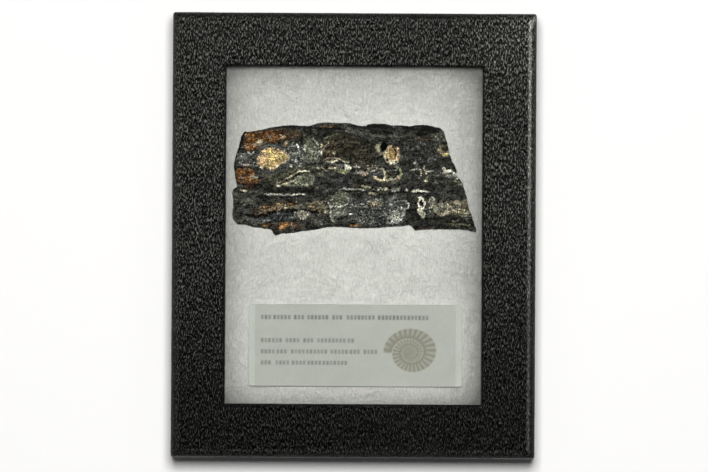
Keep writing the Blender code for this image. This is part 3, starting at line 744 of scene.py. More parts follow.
        ("line", "bone", 0.6, 0.9, [(1145, 620), (1180, 650), (1230, 650)]),
        ("line", "white", 0.42, 0.95, [(1215, 645), (1260, 668), (1300, 692)]),
        ("patch", "rose", 1165, 655, 24, 12, 0, 0.85), ("patch", "white", 1300, 738, 14, 10, 0, 0.8),
        ("specks", "white", 1200, 680, 90, 45, 0.45, 0.24, 0.85),
        ("line", "olive", 0.4, 0.8, [(1150, 768), (1240, 760), (1345, 790)]),
        ("line", "ink", 0.35, 0.7, [(1140, 785), (1240, 782), (1340, 800)]),
        ("line", "sage", 0.3, 0.7, [(1190, 822), (1270, 812), (1365, 806)]),
        ("specks", "sage", 1250, 790, 120, 50, 0.5, 0.25, 0.7),
        # the long dashed seam
        ("ring", "umber", 130, 815, 24, 22, 0, 0.4, 0.8), ("patch", "ink", 130, 815, 10, 10, 0, 0.8),
        ("line", "cream", 0.35, 0.85, [(190, 822), (240, 836), (290, 840)]),
        ("line", "paleGreen", 0.35, 0.7, [(240, 828), (300, 838)]),
        ("line", "silver", 0.28, 0.75, [(0, 866), (90, 860), (200, 868), (260, 870)]),
        ("line", "cream", 0.34, 0.8, [(385, 872), (410, 850), (430, 862)]),
        ("patch", "cream", 475, 862, 20, 14, 0, 0.75),
        ("area", "silver", 0.7, [(530, 870), (580, 850), (640, 850), (640, 880), (560, 892)]),
        ("patch", "silver", 710, 870, 22, 16, 0, 0.8),
        ("line", "bone", 0.44, 0.95, [(785, 885), (850, 878), (890, 880), (935, 892)]),
        ("patch", "silver", 960, 890, 14, 9, 0, 0.6),
        ("specks", "silver", 500, 865, 360, 25, 0.45, 0.25, 0.8),
        ("patch", "ink", 517, 850, 20, 14, 0, 1), ("patch", "ink", 690, 856, 12, 12, 0, 0.9),
        ("line", "ink", 0.4, 0.95, [(820, 908), (870, 905), (910, 900)]),
        ("line", "ink", 0.45, 0.8, [(500, 910), (580, 900), (660, 895), (740, 905)]),
        ("line", "ink", 0.4, 0.6, [(0, 885), (200, 888), (380, 890)]),
        ("line", "oat", 0.35, 0.8, [(270, 918), (320, 910), (360, 918)]),
    ]),
    ("left", [
        # grey dome and white cracks
        ("area", "sage", 0.75, [(1270, 1040), (1280, 980), (1330, 930), (1400, 915), (1470, 940),
            (1505, 1000), (1480, 1060), (1400, 1090), (1310, 1085)]),
        ("specks", "ink", 1390, 1000, 120, 90, 0.5, 0.32, 0.9),
        ("specks", "silver", 1390, 1000, 115, 85, 0.45, 0.25, 0.75),
        ("line", "silver", 0.35, 0.8, [(1370, 915), (1400, 890), (1430, 884), (1475, 905)]),
        ("line", "ink", 0.35, 0.7, [(1290, 960), (1340, 925), (1400, 908), (1460, 920), (1500, 960)]),
        ("area", "ash", 0.75, [(1290, 1115), (1440, 1105), (1520, 1140), (1500, 1200), (1400, 1240),
            (1310, 1220)]),
        ("specks", "ink", 1400, 1160, 130, 80, 0.5, 0.3, 0.9),
        ("specks", "silver", 1400, 1160, 120, 70, 0.45, 0.2, 0.7),
        ("line", "silver", 0.4, 0.9, [(1245, 1058), (1270, 1095), (1278, 1140), (1272, 1185),
            (1290, 1245), (1312, 1292)]),
        ("line", "silver", 0.38, 0.9, [(1272, 1098), (1350, 1106), (1430, 1098), (1480, 1070),
            (1500, 1035)]),
        ("line", "silver", 0.3, 0.8, [(1495, 1125), (1530, 1090)]),
        ("patch", "white", 1510, 1195, 13, 10, 0, 0.95),
    ]),
    ("right", [
        ("line", "silver", 0.28, 0.7, [(10, 940), (40, 990), (30, 1030), (0, 1060)]),
        ("line", "blueGrey", 0.25, 0.6, [(60, 930), (75, 980), (60, 1020)]),
        # crystals in the middle foot
        ("area", "oat", 0.75, [(270, 1000), (340, 980), (440, 1010), (460, 1050), (380, 1070),
            (290, 1050)]),
        ("specks", "honey", 350, 1030, 90, 40, 0.5, 0.3, 0.7),
        ("patch", "umber", 205, 1050, 42, 26, 0, 0.75),
        ("specks", "blueGrey", 350, 1120, 340, 150, 0.6, 0.32, 0.8),
        ("specks", "ink", 350, 1110, 350, 160, 0.6, 0.36, 0.9),
        ("specks", "silver", 350, 1120, 340, 150, 0.5, 0.22, 0.85),
        ("specks", "white", 450, 1130, 260, 130, 0.4, 0.12, 0.85),
        ("patch", "blueGrey", 540, 1010, 34, 46, 10, 0.8), ("patch", "silver", 575, 960, 22, 12, 0, 0.8),
        ("ring", "silver", 690, 1045, 46, 50, 0, 0.35, 0.7),
        ("patch", "charcoal", 672, 1035, 36, 36, 0, 0.8),
        ("area", "silver", 0.85, [(515, 1135), (590, 1118), (650, 1170), (645, 1230), (580, 1258),
            (530, 1220)]),
        ("specks", "white", 580, 1185, 80, 75, 0.4, 0.4, 0.95),
        ("specks", "ink", 580, 1185, 80, 75, 0.45, 0.18, 0.9),
        ("ring", "silver", 520, 1225, 30, 30, 0, 0.35, 0.9), ("patch", "coal", 520, 1225, 16, 16, 0, 0.8),
        ("patch", "silver", 682, 1142, 18, 34, 0, 0.8),
        ("area", "honey", 0.6, [(60, 1275), (150, 1270), (172, 1288), (110, 1300), (60, 1297)]),
        # white figure of eight
        ("ring", "bone", 888, 1026, 34, 64, 4, 0.6, 0.95), ("patch", "ink", 890, 1022, 14, 34, 4, 1),
        ("area", "bone", 0.85, [(846, 1085), (890, 1090), (925, 1135), (925, 1195), (902, 1200),
            (866, 1160), (842, 1120)]),
        ("line", "coal", 0.3, 0.9, [(895, 1100), (905, 1130), (912, 1160)]),
        ("specks", "coal", 885, 1110, 60, 100, 0.42, 0.24, 0.9),
        ("patch", "charcoal", 962, 1110, 50, 44, 0, 0.9),
        ("specks", "silver", 962, 1110, 50, 44, 0.42, 0.35, 0.85),
        # oat-coloured right foot
        ("area", "oat", 0.72, [(960, 1000), (1000, 970), (1050, 980), (1080, 1030), (1180, 1010),
            (1280, 980), (1400, 990), (1445, 1090), (1300, 1120), (1180, 1160), (1080, 1170), (1030, 1100),
            (980, 1060)]),
        ("ring", "silver", 1010, 1000, 32, 42, 0, 0.35, 0.7),
        ("patch", "sage", 1052, 1090, 36, 50, 0, 0.8), ("patch", "ash", 1110, 1050, 34, 50, 0, 0.7),
        ("patch", "rose", 1300, 1015, 46, 32, 0, 0.35), ("patch", "oat", 1395, 1020, 28, 42, 0, 0.8),
        ("line", "coal", 0.3, 0.7, [(1075, 1000), (1082, 1060), (1078, 1120)]),
        ("line", "coal", 0.3, 0.7, [(1150, 1010), (1155, 1070), (1150, 1130)]),
        ("line", "coal", 0.3, 0.6, [(1245, 1000), (1250, 1050), (1248, 1090)]),
        ("line", "coal", 0.3, 0.6, [(1350, 990), (1356, 1040), (1352, 1080)]),
        ("line", "white", 0.3, 0.7, [(1185, 1030), (1192, 1080), (1180, 1140)]),
        ("specks", "coal", 1220, 1060, 240, 90, 0.55, 0.32, 0.85),
        ("specks", "silver", 1200, 1070, 230, 80, 0.45, 0.2, 0.75),
        ("specks", "cream", 1330, 1110, 120, 26, 0.5, 0.45, 0.9),
        ("specks", "peach", 1340, 1120, 110, 26, 0.45, 0.3, 0.8),
        ("area", "olive", 0.7, [(1270, 1130), (1440, 1120), (1465, 1165), (1380, 1185), (1280, 1175)]),
        ("specks", "oat", 1370, 1160, 110, 40, 0.5, 0.3, 0.8),
        ("line", "cream", 0.4, 0.85, [(1150, 1160), (1165, 1130), (1180, 1100)]),
        ("line", "oat", 0.3, 0.8, [(1250, 1232), (1310, 1224)]),
        ("line", "olive", 0.4, 0.7, [(1200, 1262), (1330, 1270), (1480, 1296)]),
        ("line", "oat", 0.25, 0.6, [(1330, 1262), (1440, 1282)]),
        ("line", "ink", 0.5, 0.7, [(940, 1200), (1120, 1205), (1300, 1215)]),
        ("line", "darkRust", 0.35, 0.7, [(850, 1322), (960, 1326), (1110, 1322)]),
        ("specks", "olive", 1200, 1280, 280, 35, 0.6, 0.2, 0.5),
    ]),
    ("left", [
        # the old crust along the top
        ("line", "iron", 0.5, 0.6, [(1060, 140), (1200, 122), (1400, 130), (1568, 150)]),
        ("line", "honey", 0.32, 0.6, [(1150, 138), (1230, 136), (1330, 142)]),
        ("line", "oat", 0.25, 0.5, [(1180, 112), (1300, 110), (1480, 118)]),
        ("line", "ink", 0.35, 0.7, [(640, 145), (800, 150), (900, 175), (1000, 150), (1080, 140)]),
        ("line", "ink", 0.4, 0.6, [(1100, 165), (1300, 165), (1568, 180)]),
    ]),
    ("right", [
        ("area", "iron", 0.55, [(0, 120), (80, 130), (180, 160), (300, 200), (480, 235), (700, 240),
            (640, 262), (400, 262), (200, 240), (0, 200)]),
        ("line", "charcoal", 0.3, 0.7, [(0, 150), (150, 180), (330, 215), (560, 240)]),
        ("line", "ink", 0.3, 0.8, [(0, 130), (120, 160), (260, 195), (420, 222)]),
        ("line", "ash", 0.22, 0.4, [(60, 200), (300, 235), (560, 248)]),
        ("area", "ink", 0.85, [(240, 110), (400, 100), (540, 125), (640, 125), (720, 140), (720, 180),
            (640, 210), (520, 225), (400, 215), (300, 180), (250, 150)]),
        ("line", "iron", 0.35, 0.7, [(290, 115), (420, 112), (540, 135), (700, 150)]),
        ("line", "iron", 0.3, 0.6, [(300, 150), (420, 165), (560, 180), (700, 175)]),
        ("line", "charcoal", 0.3, 0.6, [(370, 195), (500, 205), (620, 195)]),
        ("area", "ink", 0.95, [(740, 150), (840, 118), (960, 120), (1080, 160), (1092, 195),
            (1000, 215), (940, 250), (880, 255), (820, 235), (790, 190)]),
        ("line", "charcoal", 0.45, 0.8, [(790, 150), (880, 135), (980, 145), (1080, 180)]),
        ("line", "umber", 0.3, 0.7, [(880, 262), (960, 245), (1040, 215)]),
        ("line", "ink", 0.4, 0.8, [(700, 190), (760, 170), (800, 160)]),
    ]),
]


def seated(points):
    # points * scale + shift
    return np.asarray(points) * seat["scale"] + np.array(seat["shift"])


def ellipseOf(x, y, cx, cy, halfX, halfY, turn):
    # 1 on the ellipse, less inside: sqrt((u/halfX)^2 + (v/halfY)^2), u and v turned with the ellipse
    c, s = math.cos(math.radians(turn)), math.sin(math.radians(turn))
    u, v = (x - cx) * c + (y - cy) * s, (y - cy) * c - (x - cx) * s
    return np.hypot(u / halfX, v / halfY)


def onFace(sheet, points):
    # corner + (u + k*v, k*u - v) / units, where k is the sheet's turn in radians
    corner, units = sheets[sheet]
    u, v = np.array(points, float).T
    k = math.radians(sheetTurn)
    return np.array(corner) + np.stack([u + k * v, k * u - v], -1) / units


def ovalDepth(x, y, place, half, turn):
    # mm inside an ellipse, about: (1 - its own distance) * mean half size
    return (1 - ellipseOf(x, y, *place, *half, turn)) * (half[0] + half[1]) / 2


def strokeMask(sheet, kind, rest, x, y, number):
    # how strongly one stroke covers each place: smoothStep of the depth inside it, with its edge frayed by
    # one noise and its body worn by another
    units = sheets[sheet][1]
    if kind in ("area", "line"):
        *widths, strength, points = rest
        points = onFace(sheet, points + points[:1] if kind == "area" else points)
        low, high = points.min(0) - 1, points.max(0) + 1
    else:
        u, v, *half = rest[:4]
        place, half = onFace(sheet, [(u, v)])[0], np.array(half) / units
        low, high = place - half.max() * 1.2 - 1, place + half.max() * 1.2 + 1
    # small features are crisper and less worn than wide ones
    ease = np.clip(((high - low).min() - 1.5) / 5, 0.3, 1) if kind != "line" else 0.6
    near = np.flatnonzero((x > low[0]) & (x < high[0]) & (y > low[1]) & (y < high[1]))
    x, y = x[near], y[near]
    xw = x + ease * stone["wander"] * clouds(x, y, 1.2, 3, 11)
    yw = y + ease * stone["wander"] * clouds(x, y, 1.2, 3, 37)
    fray, worn = ease * stone["fray"] * clouds(x, y, 0.7, 3, 23), clouds(x, y, 1.3, 3, 29)
    if kind == "area":
        depth = lineDistance(xw, yw, points)
        depth = np.where(insideOf(xw, yw, points), depth, -depth)
        mask = smoothStep(-0.16, 0.26, depth + fray) * (1 + 1.7 * ease * np.clip(worn - 0.08, -1, 0))
    elif kind == "line":
        depth = widths[0] / 2 * (1 + worn) - lineDistance(xw, yw, points)
        mask = smoothStep(-0.14, 0.08, depth + 0.4 * fray) * np.clip(0.98 + worn, 0, 1)
    elif kind == "patch":
        turn, strength = rest[4:]
        mask = smoothStep(-0.16, 0.2, ovalDepth(xw, yw, place, half, turn) + 0.6 * fray)
    elif kind == "ring":
        turn, width, strength = rest[4:]
        depth = width / 2 - np.abs(ovalDepth(xw, yw, place, half, turn))
        mask = smoothStep(-0.14, 0.08, depth + 0.4 * fray)
    else:
        size, cover, strength = rest[4:]
        zone = smoothStep(-0.6, 0.5, ovalDepth(x, y, place, half, 0) + 2 * fray)
        edge = 0.62 - 1.15 * cover
        mask = zone * smoothStep(edge, edge + 0.16, clouds(x, y, size, 2, 101 + number))
    return near, np.clip(strength * mask, 0, 1)[:, None]


def paintStone(x, y):
    # lays the strokes over a mottled dark ground, then squiggles, exp(-(noise / width)^2), which are
    # strong where a noise crosses 0, then multiplies by exp(sum of grain noises), less on light colours
    colour = np.tile(linear(palette["charcoal"]), (len(x), 1))
    colour = colour * np.exp(stone["mottle"] * clouds(x, y, 3.0, 4, 5))[:, None]
    strokes = [(sheet, *stroke) for sheet, group in markings for stroke in group]
    for number, (sheet, kind, name, *rest) in enumerate(strokes):
        near, mask = strokeMask(sheet, kind, rest, x, y, number)
        colour[near] += (linear(palette[name]) - colour[near]) * mask
    shown = (colour @ np.array([0.21, 0.72, 0.07])) ** 0.45
    for name, strength, seed in (("ash", stone["paleThreads"], 131), ("ink", stone["darkThreads"], 141)):
        thread = np.exp(-(clouds(x / 1.7, y, 1.4, 3, seed) / 0.09) ** 2)
        thread = thread * smoothStep(-0.15, 0.3, clouds(x / 2, y, 2.4, 2, seed + 5))
        thread = strength * thread * smoothStep(0.12, 0.25, shown)
        colour = colour + (linear(palette[name]) - colour) * thread[:, None]
    grain = stone["grain"] * clouds(x / 1.2, y, 0.75, 3, 71)
    grain = grain + stone["layers"] * clouds(x / 4, y / 0.6, 1.0, 2, 83)
    grain = grain + stone["lumps"] * clouds(x / 2.2, y, 1.7, 2, 89)
    colour = colour * np.exp(grain * (1 - stone["calmLight"] * shown))[:, None]
    blue = ripple(x / 0.9, y / 0.9, 97)[:, None] * np.array([-0.08, 0.0, 0.1])
    return np.clip(colour * (1 + blue) * stone["gain"], 0.002, 0.86)


def coonsPatch(bottom, top, left, right):
    # (1-v) bottom(u) + v top(u) + (1-u) left(v) + u right(v) - the straight blend of the corners
    u = np.linspace(0, 1, len(bottom))[None, :, None]
    v = np.linspace(0, 1, len(left))[:, None, None]
    straight = (1 - v) * ((1 - u) * bottom[0] + u * bottom[-1]) + v * ((1 - u) * top[0] + u * top[-1])
    return (1 - v) * bottom[None] + v * top[None] + (1 - u) * left[:, None] + u * right[:, None] - straight


def facePatch(across, up, inset):
    # the outline's four sides at equal steps, roughened along their own normals and drawn in by inset
    sides = [
        alongLine(bottomSide[::-1], across + 1)[:-1], alongLine(rightSide[::-1], up + 1)[:-1],
        alongLine(topSide[::-1], across + 1)[:-1], alongLine(leftSide[::-1], up + 1)[:-1],
    ]
    ring = np.vstack(sides)
    tangent = np.roll(ring, -2, 0) - np.roll(ring, 2, 0)
    outward = np.stack([tangent[:, 1], -tangent[:, 0]], -1) / np.hypot(*tangent.T)[:, None]
    rough = stone["ragged"] * clouds(ring[:, 0], ring[:, 1], 1.3, 4, 3)
    ring = ring + outward * (rough - inset)[:, None]
    bottom, right = ring[:across + 1], ring[across:across + up + 1]
    top = ring[across + up:2 * across + up + 1][::-1]
    left = np.vstack([ring[2 * across + up:], ring[:1]])[::-1]
    return coonsPatch(bottom, top, left, right), outward


def ringNumbers(rows, columns):
    # the border of a grid, anticlockwise from its first corner
    grid = np.arange(rows * columns).reshape(rows, columns)
    return np.concatenate([grid[0, :-1], grid[:-1, -1], grid[-1, :0:-1], grid[:0:-1, 0]])


def faceDrop(x, y):
    # how far the face lies below the sawn plane: crust slope, hollows and a worn edge
    topLine = np.interp(x, *np.array(topSide).T)
    back = np.interp(x, *np.array(crust).T, left=0.15, right=0.15)
    slope = np.clip(1 - (topLine - y) / back, 0, 1)
    lumps = 1 + 0.5 * clouds(x, 2.2 * y, 1.6, 3, 41)
    shallow, deeper = stone["crustDepth"]
    drop = (shallow + deeper * back) * slope ** 0.75 * lumps * (back > 0.16)
    for cx, cy, halfX, halfY, depth, turn in hollows:
        d = ellipseOf(x, y, cx, cy, halfX, halfY, turn) + 0.12 * ripple(x / 0.8, y / 0.8, 57)
        drop = np.maximum(drop, depth * np.sqrt(np.clip(1 - d * d, 0, 1)))
    worn, reach = stone["wornEdge"]
    drop += worn * np.clip(1 - lineDistance(x, y, closedOutline) / reach, 0, 1) ** 2
    return drop, slope


def buildSlice():
    # the painted face, a rim of rows that go from its edge to the back, and a plain sawn back
    low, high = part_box("molar_slice")
    top, bottom = high[2] / mm, low[2] / mm
    across, up = stone["across"], stone["up"]
    front, outward = facePatch(across, up, 0.0)
    x, y = front[..., 0].ravel(), front[..., 1].ravel()
    drop, slope = faceDrop(x, y)
    frontPoints = np.column_stack([x, y, top - drop])
    border = ringNumbers(up + 1, across + 1)
    ring = frontPoints[border]

    # the broken rim: rows from the face's edge to the back, drawn in and out by a noise
    rows = stone["rimRows"]
    t = np.linspace(0, 1, rows + 1)[1:, None]
    depth = ring[None, :, 2] * (1 - t) + (bottom + 0.02) * t
    around = np.arange(len(border)) * stone["rimStep"]
    rough = clouds(around[None, :] + 0 * t, depth * 0.8, 1.8, 3, 61)
    ends = np.sin(np.pi * np.clip(t, 0, 1)) ** 0.5
    offset = np.clip(stone["rimRough"] * rough - stone["rimIn"], *stone["rimReach"]) * ends
    offset = offset - stone["backRound"] * smoothStep(0.86, 1.0, t)
    rimX, rimY = [ring[None, :, k] + outward[None, :, k] * offset for k in (0, 1)]
    rim = np.stack([rimX, rimY, depth], -1)

    # a plain sawn back at half the steps
    back = facePatch(across // 2, up // 2, stone["backInset"])[0].reshape(-1, 2)
    backPoints = np.column_stack([back, np.full(len(back), bottom)])

    points = np.vstack([frontPoints, rim.reshape(-1, 3), backPoints])
    count = len(border)
    rimStart, backStart = len(frontPoints), len(frontPoints) + rows * count
    rimRing = np.vstack([border, rimStart + np.arange(rows * count).reshape(rows, count)])
    after = np.roll(rimRing, -1, 1)
    rimQuads = np.stack([rimRing[:-1], after[:-1], after[1:], rimRing[1:]], -1).reshape(-1, 4)
    backRing = backStart + ringNumbers(up // 2 + 1, across // 2 + 1)
    lastA, lastB, lastC = rimRing[-1][0::2], rimRing[-1][1::2], np.roll(rimRing[-1][0::2], -1)
    nextBack = np.roll(backRing, -1)
    triangles = np.vstack([
        np.column_stack([lastA, lastB, backRing]), np.column_stack([lastB, nextBack, backRing]),
        np.column_stack([lastB, lastC, nextBack])])
    backQuads = quadsBetween(up // 2 + 1, across // 2 + 1, start=backStart)
    quads = np.vstack([quadsBetween(up + 1, across + 1), rimQuads, backQuads])
    colour = paintStone(points[:, 0], points[:, 1])
    placed = np.column_stack([seated(points[:, :2]), points[:, 2]])
    piece = makePiece("sliceOfTooth", placed, quads, triangles)

    onRim = np.zeros(len(points))
    onRim[rimStart:backStart] = 1
    onRim[:rimStart] = smoothStep(0.02, 0.3, slope)
    sunk = np.concatenate([smoothStep(0.15, 0.6, drop), np.zeros(len(points) - rimStart)])
    deep = np.concatenate([smoothStep(0.9, 2.2, drop), np.zeros(len(points) - rimStart)])
    crustTone = np.exp(2.4 * clouds(points[:, 0] / 4, points[:, 1] + points[:, 2], 0.9, 3, 67))
    # painted shade in the deepest parts of the face: its hollows and where the crust stands furthest back
    colour = colour * (1 + onRim * (0.5 * crustTone - 1))[:, None] * (1 - 0.7 * deep)[:, None]
    setColour(piece, "stoneColour", colour)
    setNumber(piece, "unpolished", np.clip(onRim + 0.8 * sunk, 0, 1))
    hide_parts("molar_slice")
    piece.data.materials.append(stoneMaterial())


def stoneMaterial():
    # the painted colour * 500^(noise - 0.52) * 12^(stretched noise - 0.5), rougher where it isn't polished
    material, tree, shader = newMaterial("polishedTooth", 0.25, (0.05, 0.047, 0.04))
    painted = shadingOf(tree, "stoneColour", "Color")
    unpolished = shadingOf(tree, "unpolished")
    place = placeOf(tree)
    grainy = calc(tree, "POWER", 500.0, calc(tree, "SUBTRACT", grains(tree, place, 2300, 3.0, 0.6), 0.52))
    layered = grains(tree, placeOf(tree, (0.45, 1.6, 1.0), (0, 0, 0.08)), 1500, 4.0, 0.62, 0.6)
    layered = calc(tree, "POWER", 12.0, calc(tree, "SUBTRACT", layered, 0.5))
    colour = tinted(tree, tinted(tree, painted, grainy), layered)
    tree.links.new(colour, shader.inputs["Base Color"])
    polish = remap(tree, grains(tree, place, 900), 0.3, 0.7, 0.07, 0.13)
    roughness = calc(tree, "ADD", polish, calc(tree, "MULTIPLY", unpolished, 0.12))
    tree.links.new(roughness, shader.inputs["Roughness"])
    shader.inputs["Specular IOR Level"].default_value = 0.3
    pits, rough = grains(tree, place, 1900, 5.0), calc(tree, "MULTIPLY_ADD", unpolished, 1.0, 0.05)
    addBump(tree, shader, calc(tree, "MULTIPLY", pits, rough), 0.25 * mm)
    return material


buildSlice()
print("slice done")


# the lid's sizes, which the batting under it reads too
lid = {
    "faceStep": 0.42,            # mm between points across the face
    "sideStep": 0.45,            # mm between points along the sides
    "cornerSteps": 5,            # round each corner of a ring
    "edgeRound": (2.4, 1.8),     # mm, in from the side and down from the face
    "cornerRound": 1.0,          # mm
    "board": 1.6,                # mm thick
    "window": (80.4, 105.4),     # mm
    "windowSlope": 0.7,          # mm, how far before the window the face starts to turn down
    # mm down from the face and on towards the window, row by row over the window's edge
    "windowRows": [(0.10, 0.4), (0.26, 0.6), (0.5, 0.7), (0.95, 0.72), (1.5, 0.72), (1.6, 0.8)],
    "plainRows": 14,             # rows of the section, in the window and inside, that have no grain
    "lean": 0.1,                 # mm, how much the skirts lean in
    "leanAtTop": 0.92,           # the share of it that is reached where the edge starts to round
    "grain": 0.025,              # mm, height of the grain in the mesh
    "waves": (0.03, 9.0),        # mm, height and size of the paper's slow waves
    "flap": 0.08,                # mm, thickness of the paper folded over at the corners
    "flapWide": 13.0,
    "roundRun": 1.3,             # mm of paper that the rounded edge counts for
    "highlightAt": (2.25, 0.4),     # mm in from the side and mm wide, the painted highlight line on the edge
    "highlightRight": (0.25, 1.0),  # how strong the painted highlight is on the right side, from its foot to its head
    "highlightElse": 0.04,          # and on the other sides
    "cornerHighlight": [(56.3, 68.6), (55.0, 65.0)],    # mm, a painted highlight line in the top right corner
    "pale": (0.24, 1.10),        # how pale the grain's crests are, from the foot of the lid to its head, a painted light from the top
    "sheenCorner": (53, 64, 14),  # mm, where they are palest, and how far that reaches: a painted sheen in the top right corner
    "shadedHead": (67.4, 68.7),    # mm along Y, where the painted shade along the top edge starts and is full
    "shadedHeadBy": 0.75,
}


# the batting

pad = {
    "around": 800,               # points round each ring
    "topRows": 84,               # rings from the slice to the walls
    "centre": (8.0, 18.0),       # every part of the slice's outline is seen from here
    "wallGap": 0.35,             # mm to the tray's walls
    "crownDrop": 3.0,            # how much lower the pad is at the walls
    "fluff": 0.16,               # mm, soft unevenness
    "sliceGap": 0.06,            # mm between the fibre and the slice
    "solidGap": 0.3,             # mm between the CAD pad and the tray's walls
    "dip": (0.18, 0.7),          # mm, depth and reach of the dip along the slice
    "pocket": 8.3,               # mm from the slice's face down to the floor of its pocket
    "cardBed": 0.12,             # mm, how far the pad lies below the card's underside
    "bedRise": (0.16, 1.6),      # mm, how far the pad comes up beside the card, and over what width
    "bedReach": 3.0,             # mm from the card, past which it holds nothing down
    "crowding": 1.35,            # above 1, rows lie closer together near the slice
    # how dark and how far in, mm, the frame's painted shade is on the left, right, top and bottom
    "sideShade": [(0.42, 6.0), (0.56, 6.5), (0.46, 5.5), (0.38, 4.5)],
    "darkest": 0.3,              # the least that all this painted shade leaves
}
strands = {
    "pieces": 3,
    "each": 4600,                # fibres, before those on the slice and the card are dropped
    "steps": 6,                  # straight runs along a fibre
    "length": (2.6, 7.5),        # mm
    "radius": (0.022, 0.045),    # mm
    "acrossX": (-41.5, 41.5),    # mm, where their middles lie
    "acrossY": (-54.0, 54.5),
    "swirl": (1.3, 16.0),        # half turns, and the mm over which the heading wanders by them
    "clearOf": (0.12, 0.15),     # mm from the slice and from the card
    "lift": (0.22, 0.10),        # mm, highest foot above the pad, and height of the arch
    "underGlass": 0.06,          # mm
}
padLow, padHigh = [np.array(corner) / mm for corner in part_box("batting")]
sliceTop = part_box("molar_slice")[1][2] / mm
cardLow, cardHigh = [np.array(corner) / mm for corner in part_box("label_card")]
cardLow[:2], cardHigh[:2] = seated(cardLow[:2]), seated(cardHigh[:2])
seatedOutline = seated(closedOutline)
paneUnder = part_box("glass_pane")[0][2] / mm


def awayFromCard(x, y):
    # distance outside the card's rectangle, 0 on it
    cx, cy = (cardLow[:2] + cardHigh[:2]) / 2
    halfX, halfY = (cardHigh[:2] - cardLow[:2]) / 2
    return np.hypot(np.clip(np.abs(x - cx) - halfX, 0, None), np.clip(np.abs(y - cy) - halfY, 0, None))


def padTop(x, y, fromSlice):
    # crown - drop*(1 - (1-|x/a|^4)(1-|y/b|^4)) with fluff, lower beside the slice and held under the card
    across = 1 - np.clip(np.abs(x / padHigh[0]), 0, 1) ** 4
    along = 1 - np.clip(np.abs(y / padHigh[1]), 0, 1) ** 4
    crown = padHigh[2] - pad["crownDrop"] * (1 - across * along)
    fluff = pad["fluff"] * clouds(x, y, 3.4, 4, 201) - 0.4 * pad["fluff"]
    dip, reach = pad["dip"]
    top = crown + fluff - dip * np.exp(-np.clip(fromSlice - pad["sliceGap"], 0, None) / reach)
    offCard = awayFromCard(x, y)
    rise, width = pad["bedRise"]
    bed = cardLow[2] - pad["cardBed"] + rise * smoothStep(0, width, offCard)
    held = smoothStep(pad["bedReach"], 0.2, offCard)
    return top + held * (np.minimum(top, bed) - top)


def edgeShade(x, y):
    # painted shade: the fibre's colour greys where it sinks under the frame, 1 - sum of depth * exp(-distance
    # / reach) over the four sides
    halfX, halfY = lid["window"][0] / 2, lid["window"][1] / 2
    shade = np.ones(len(x))
    for distance, (depth, reach) in zip((halfX + x, halfX - x, halfY - y, halfY + y), pad["sideShade"]):
        shade -= depth * np.exp(-np.clip(distance, 0, None) / reach)
    return np.clip(shade, pad["darkest"], 1)


def buildPad():
    # rays from the centre: (1 - s) * slice's outline + s * wall for the top, closed below by plain rings
    around, rows = pad["around"], pad["topRows"]
    centre = np.array(pad["centre"])
    inner = alongLine(seatedOutline[:-1], around, closed=True)
    ray = inner - centre
    stretch = pad["sliceGap"] / np.hypot(*ray.T)
    inner = inner + ray * stretch[:, None] * 1.3

    # where each ray meets the tray's walls
    walls = padHigh[:2] + pad["solidGap"] - pad["wallGap"]
    toWall = np.where(ray > 0, walls - centre, walls + centre) / np.maximum(np.abs(ray), 1e-6)
    outer = centre + ray * toWall.min(1)[:, None]

    # the top's rows go from the slice's edge to the walls
    s = (np.linspace(0, 1, rows) ** pad["crowding"])[:, None, None]
    flat = (1 - s) * inner[None] + s * outer[None]
    fromSlice = lineDistance(flat[..., 0], flat[..., 1], seatedOutline)
    height = padTop(flat[..., 0], flat[..., 1], fromSlice)
    top = np.dstack([flat, height])

    # pocket wall and floor inside, outer wall and underside outside
    pocketFloor = sliceTop - pad["pocket"]
    drops = np.linspace(0, 1, 5)[1:, None]

    def wallRows(flat, high, low):
        level = high * (1 - drops) + low * drops
        return np.stack([flat[None, :, 0] + 0 * level, flat[None, :, 1] + 0 * level, level], -1)

    def ringAt(flat, share, level):
        return np.column_stack([centre + (flat - centre) * share, np.full(around, level)])[None]

    rings = np.concatenate([
        ringAt(inner, 0.5, pocketFloor), wallRows(inner, height[0], pocketFloor)[::-1], top,
        wallRows(outer, height[-1], padLow[2]), ringAt(outer, 0.5, padLow[2])])
    total = len(rings)
    poles = np.array([[*centre, pocketFloor], [*centre, padLow[2]]])
    points = np.vstack([rings.reshape(-1, 3), poles])
    numbers = np.arange(around)
    after, lastRing = np.roll(numbers, -1), (total - 1) * around
    triangles = np.vstack([
        np.column_stack([after, numbers, np.full(around, total * around)]),
        np.column_stack([numbers + lastRing, after + lastRing, np.full(around, total * around + 1)])])
    piece = makePiece("battingPad", points, quadsBetween(total, around, closed=True), triangles)
    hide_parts("batting")
    setNumber(piece, "edgeShade", edgeShade(points[:, 0], points[:, 1]))
    piece.data.materials.append(battingMaterial("battingPad", 0.56))


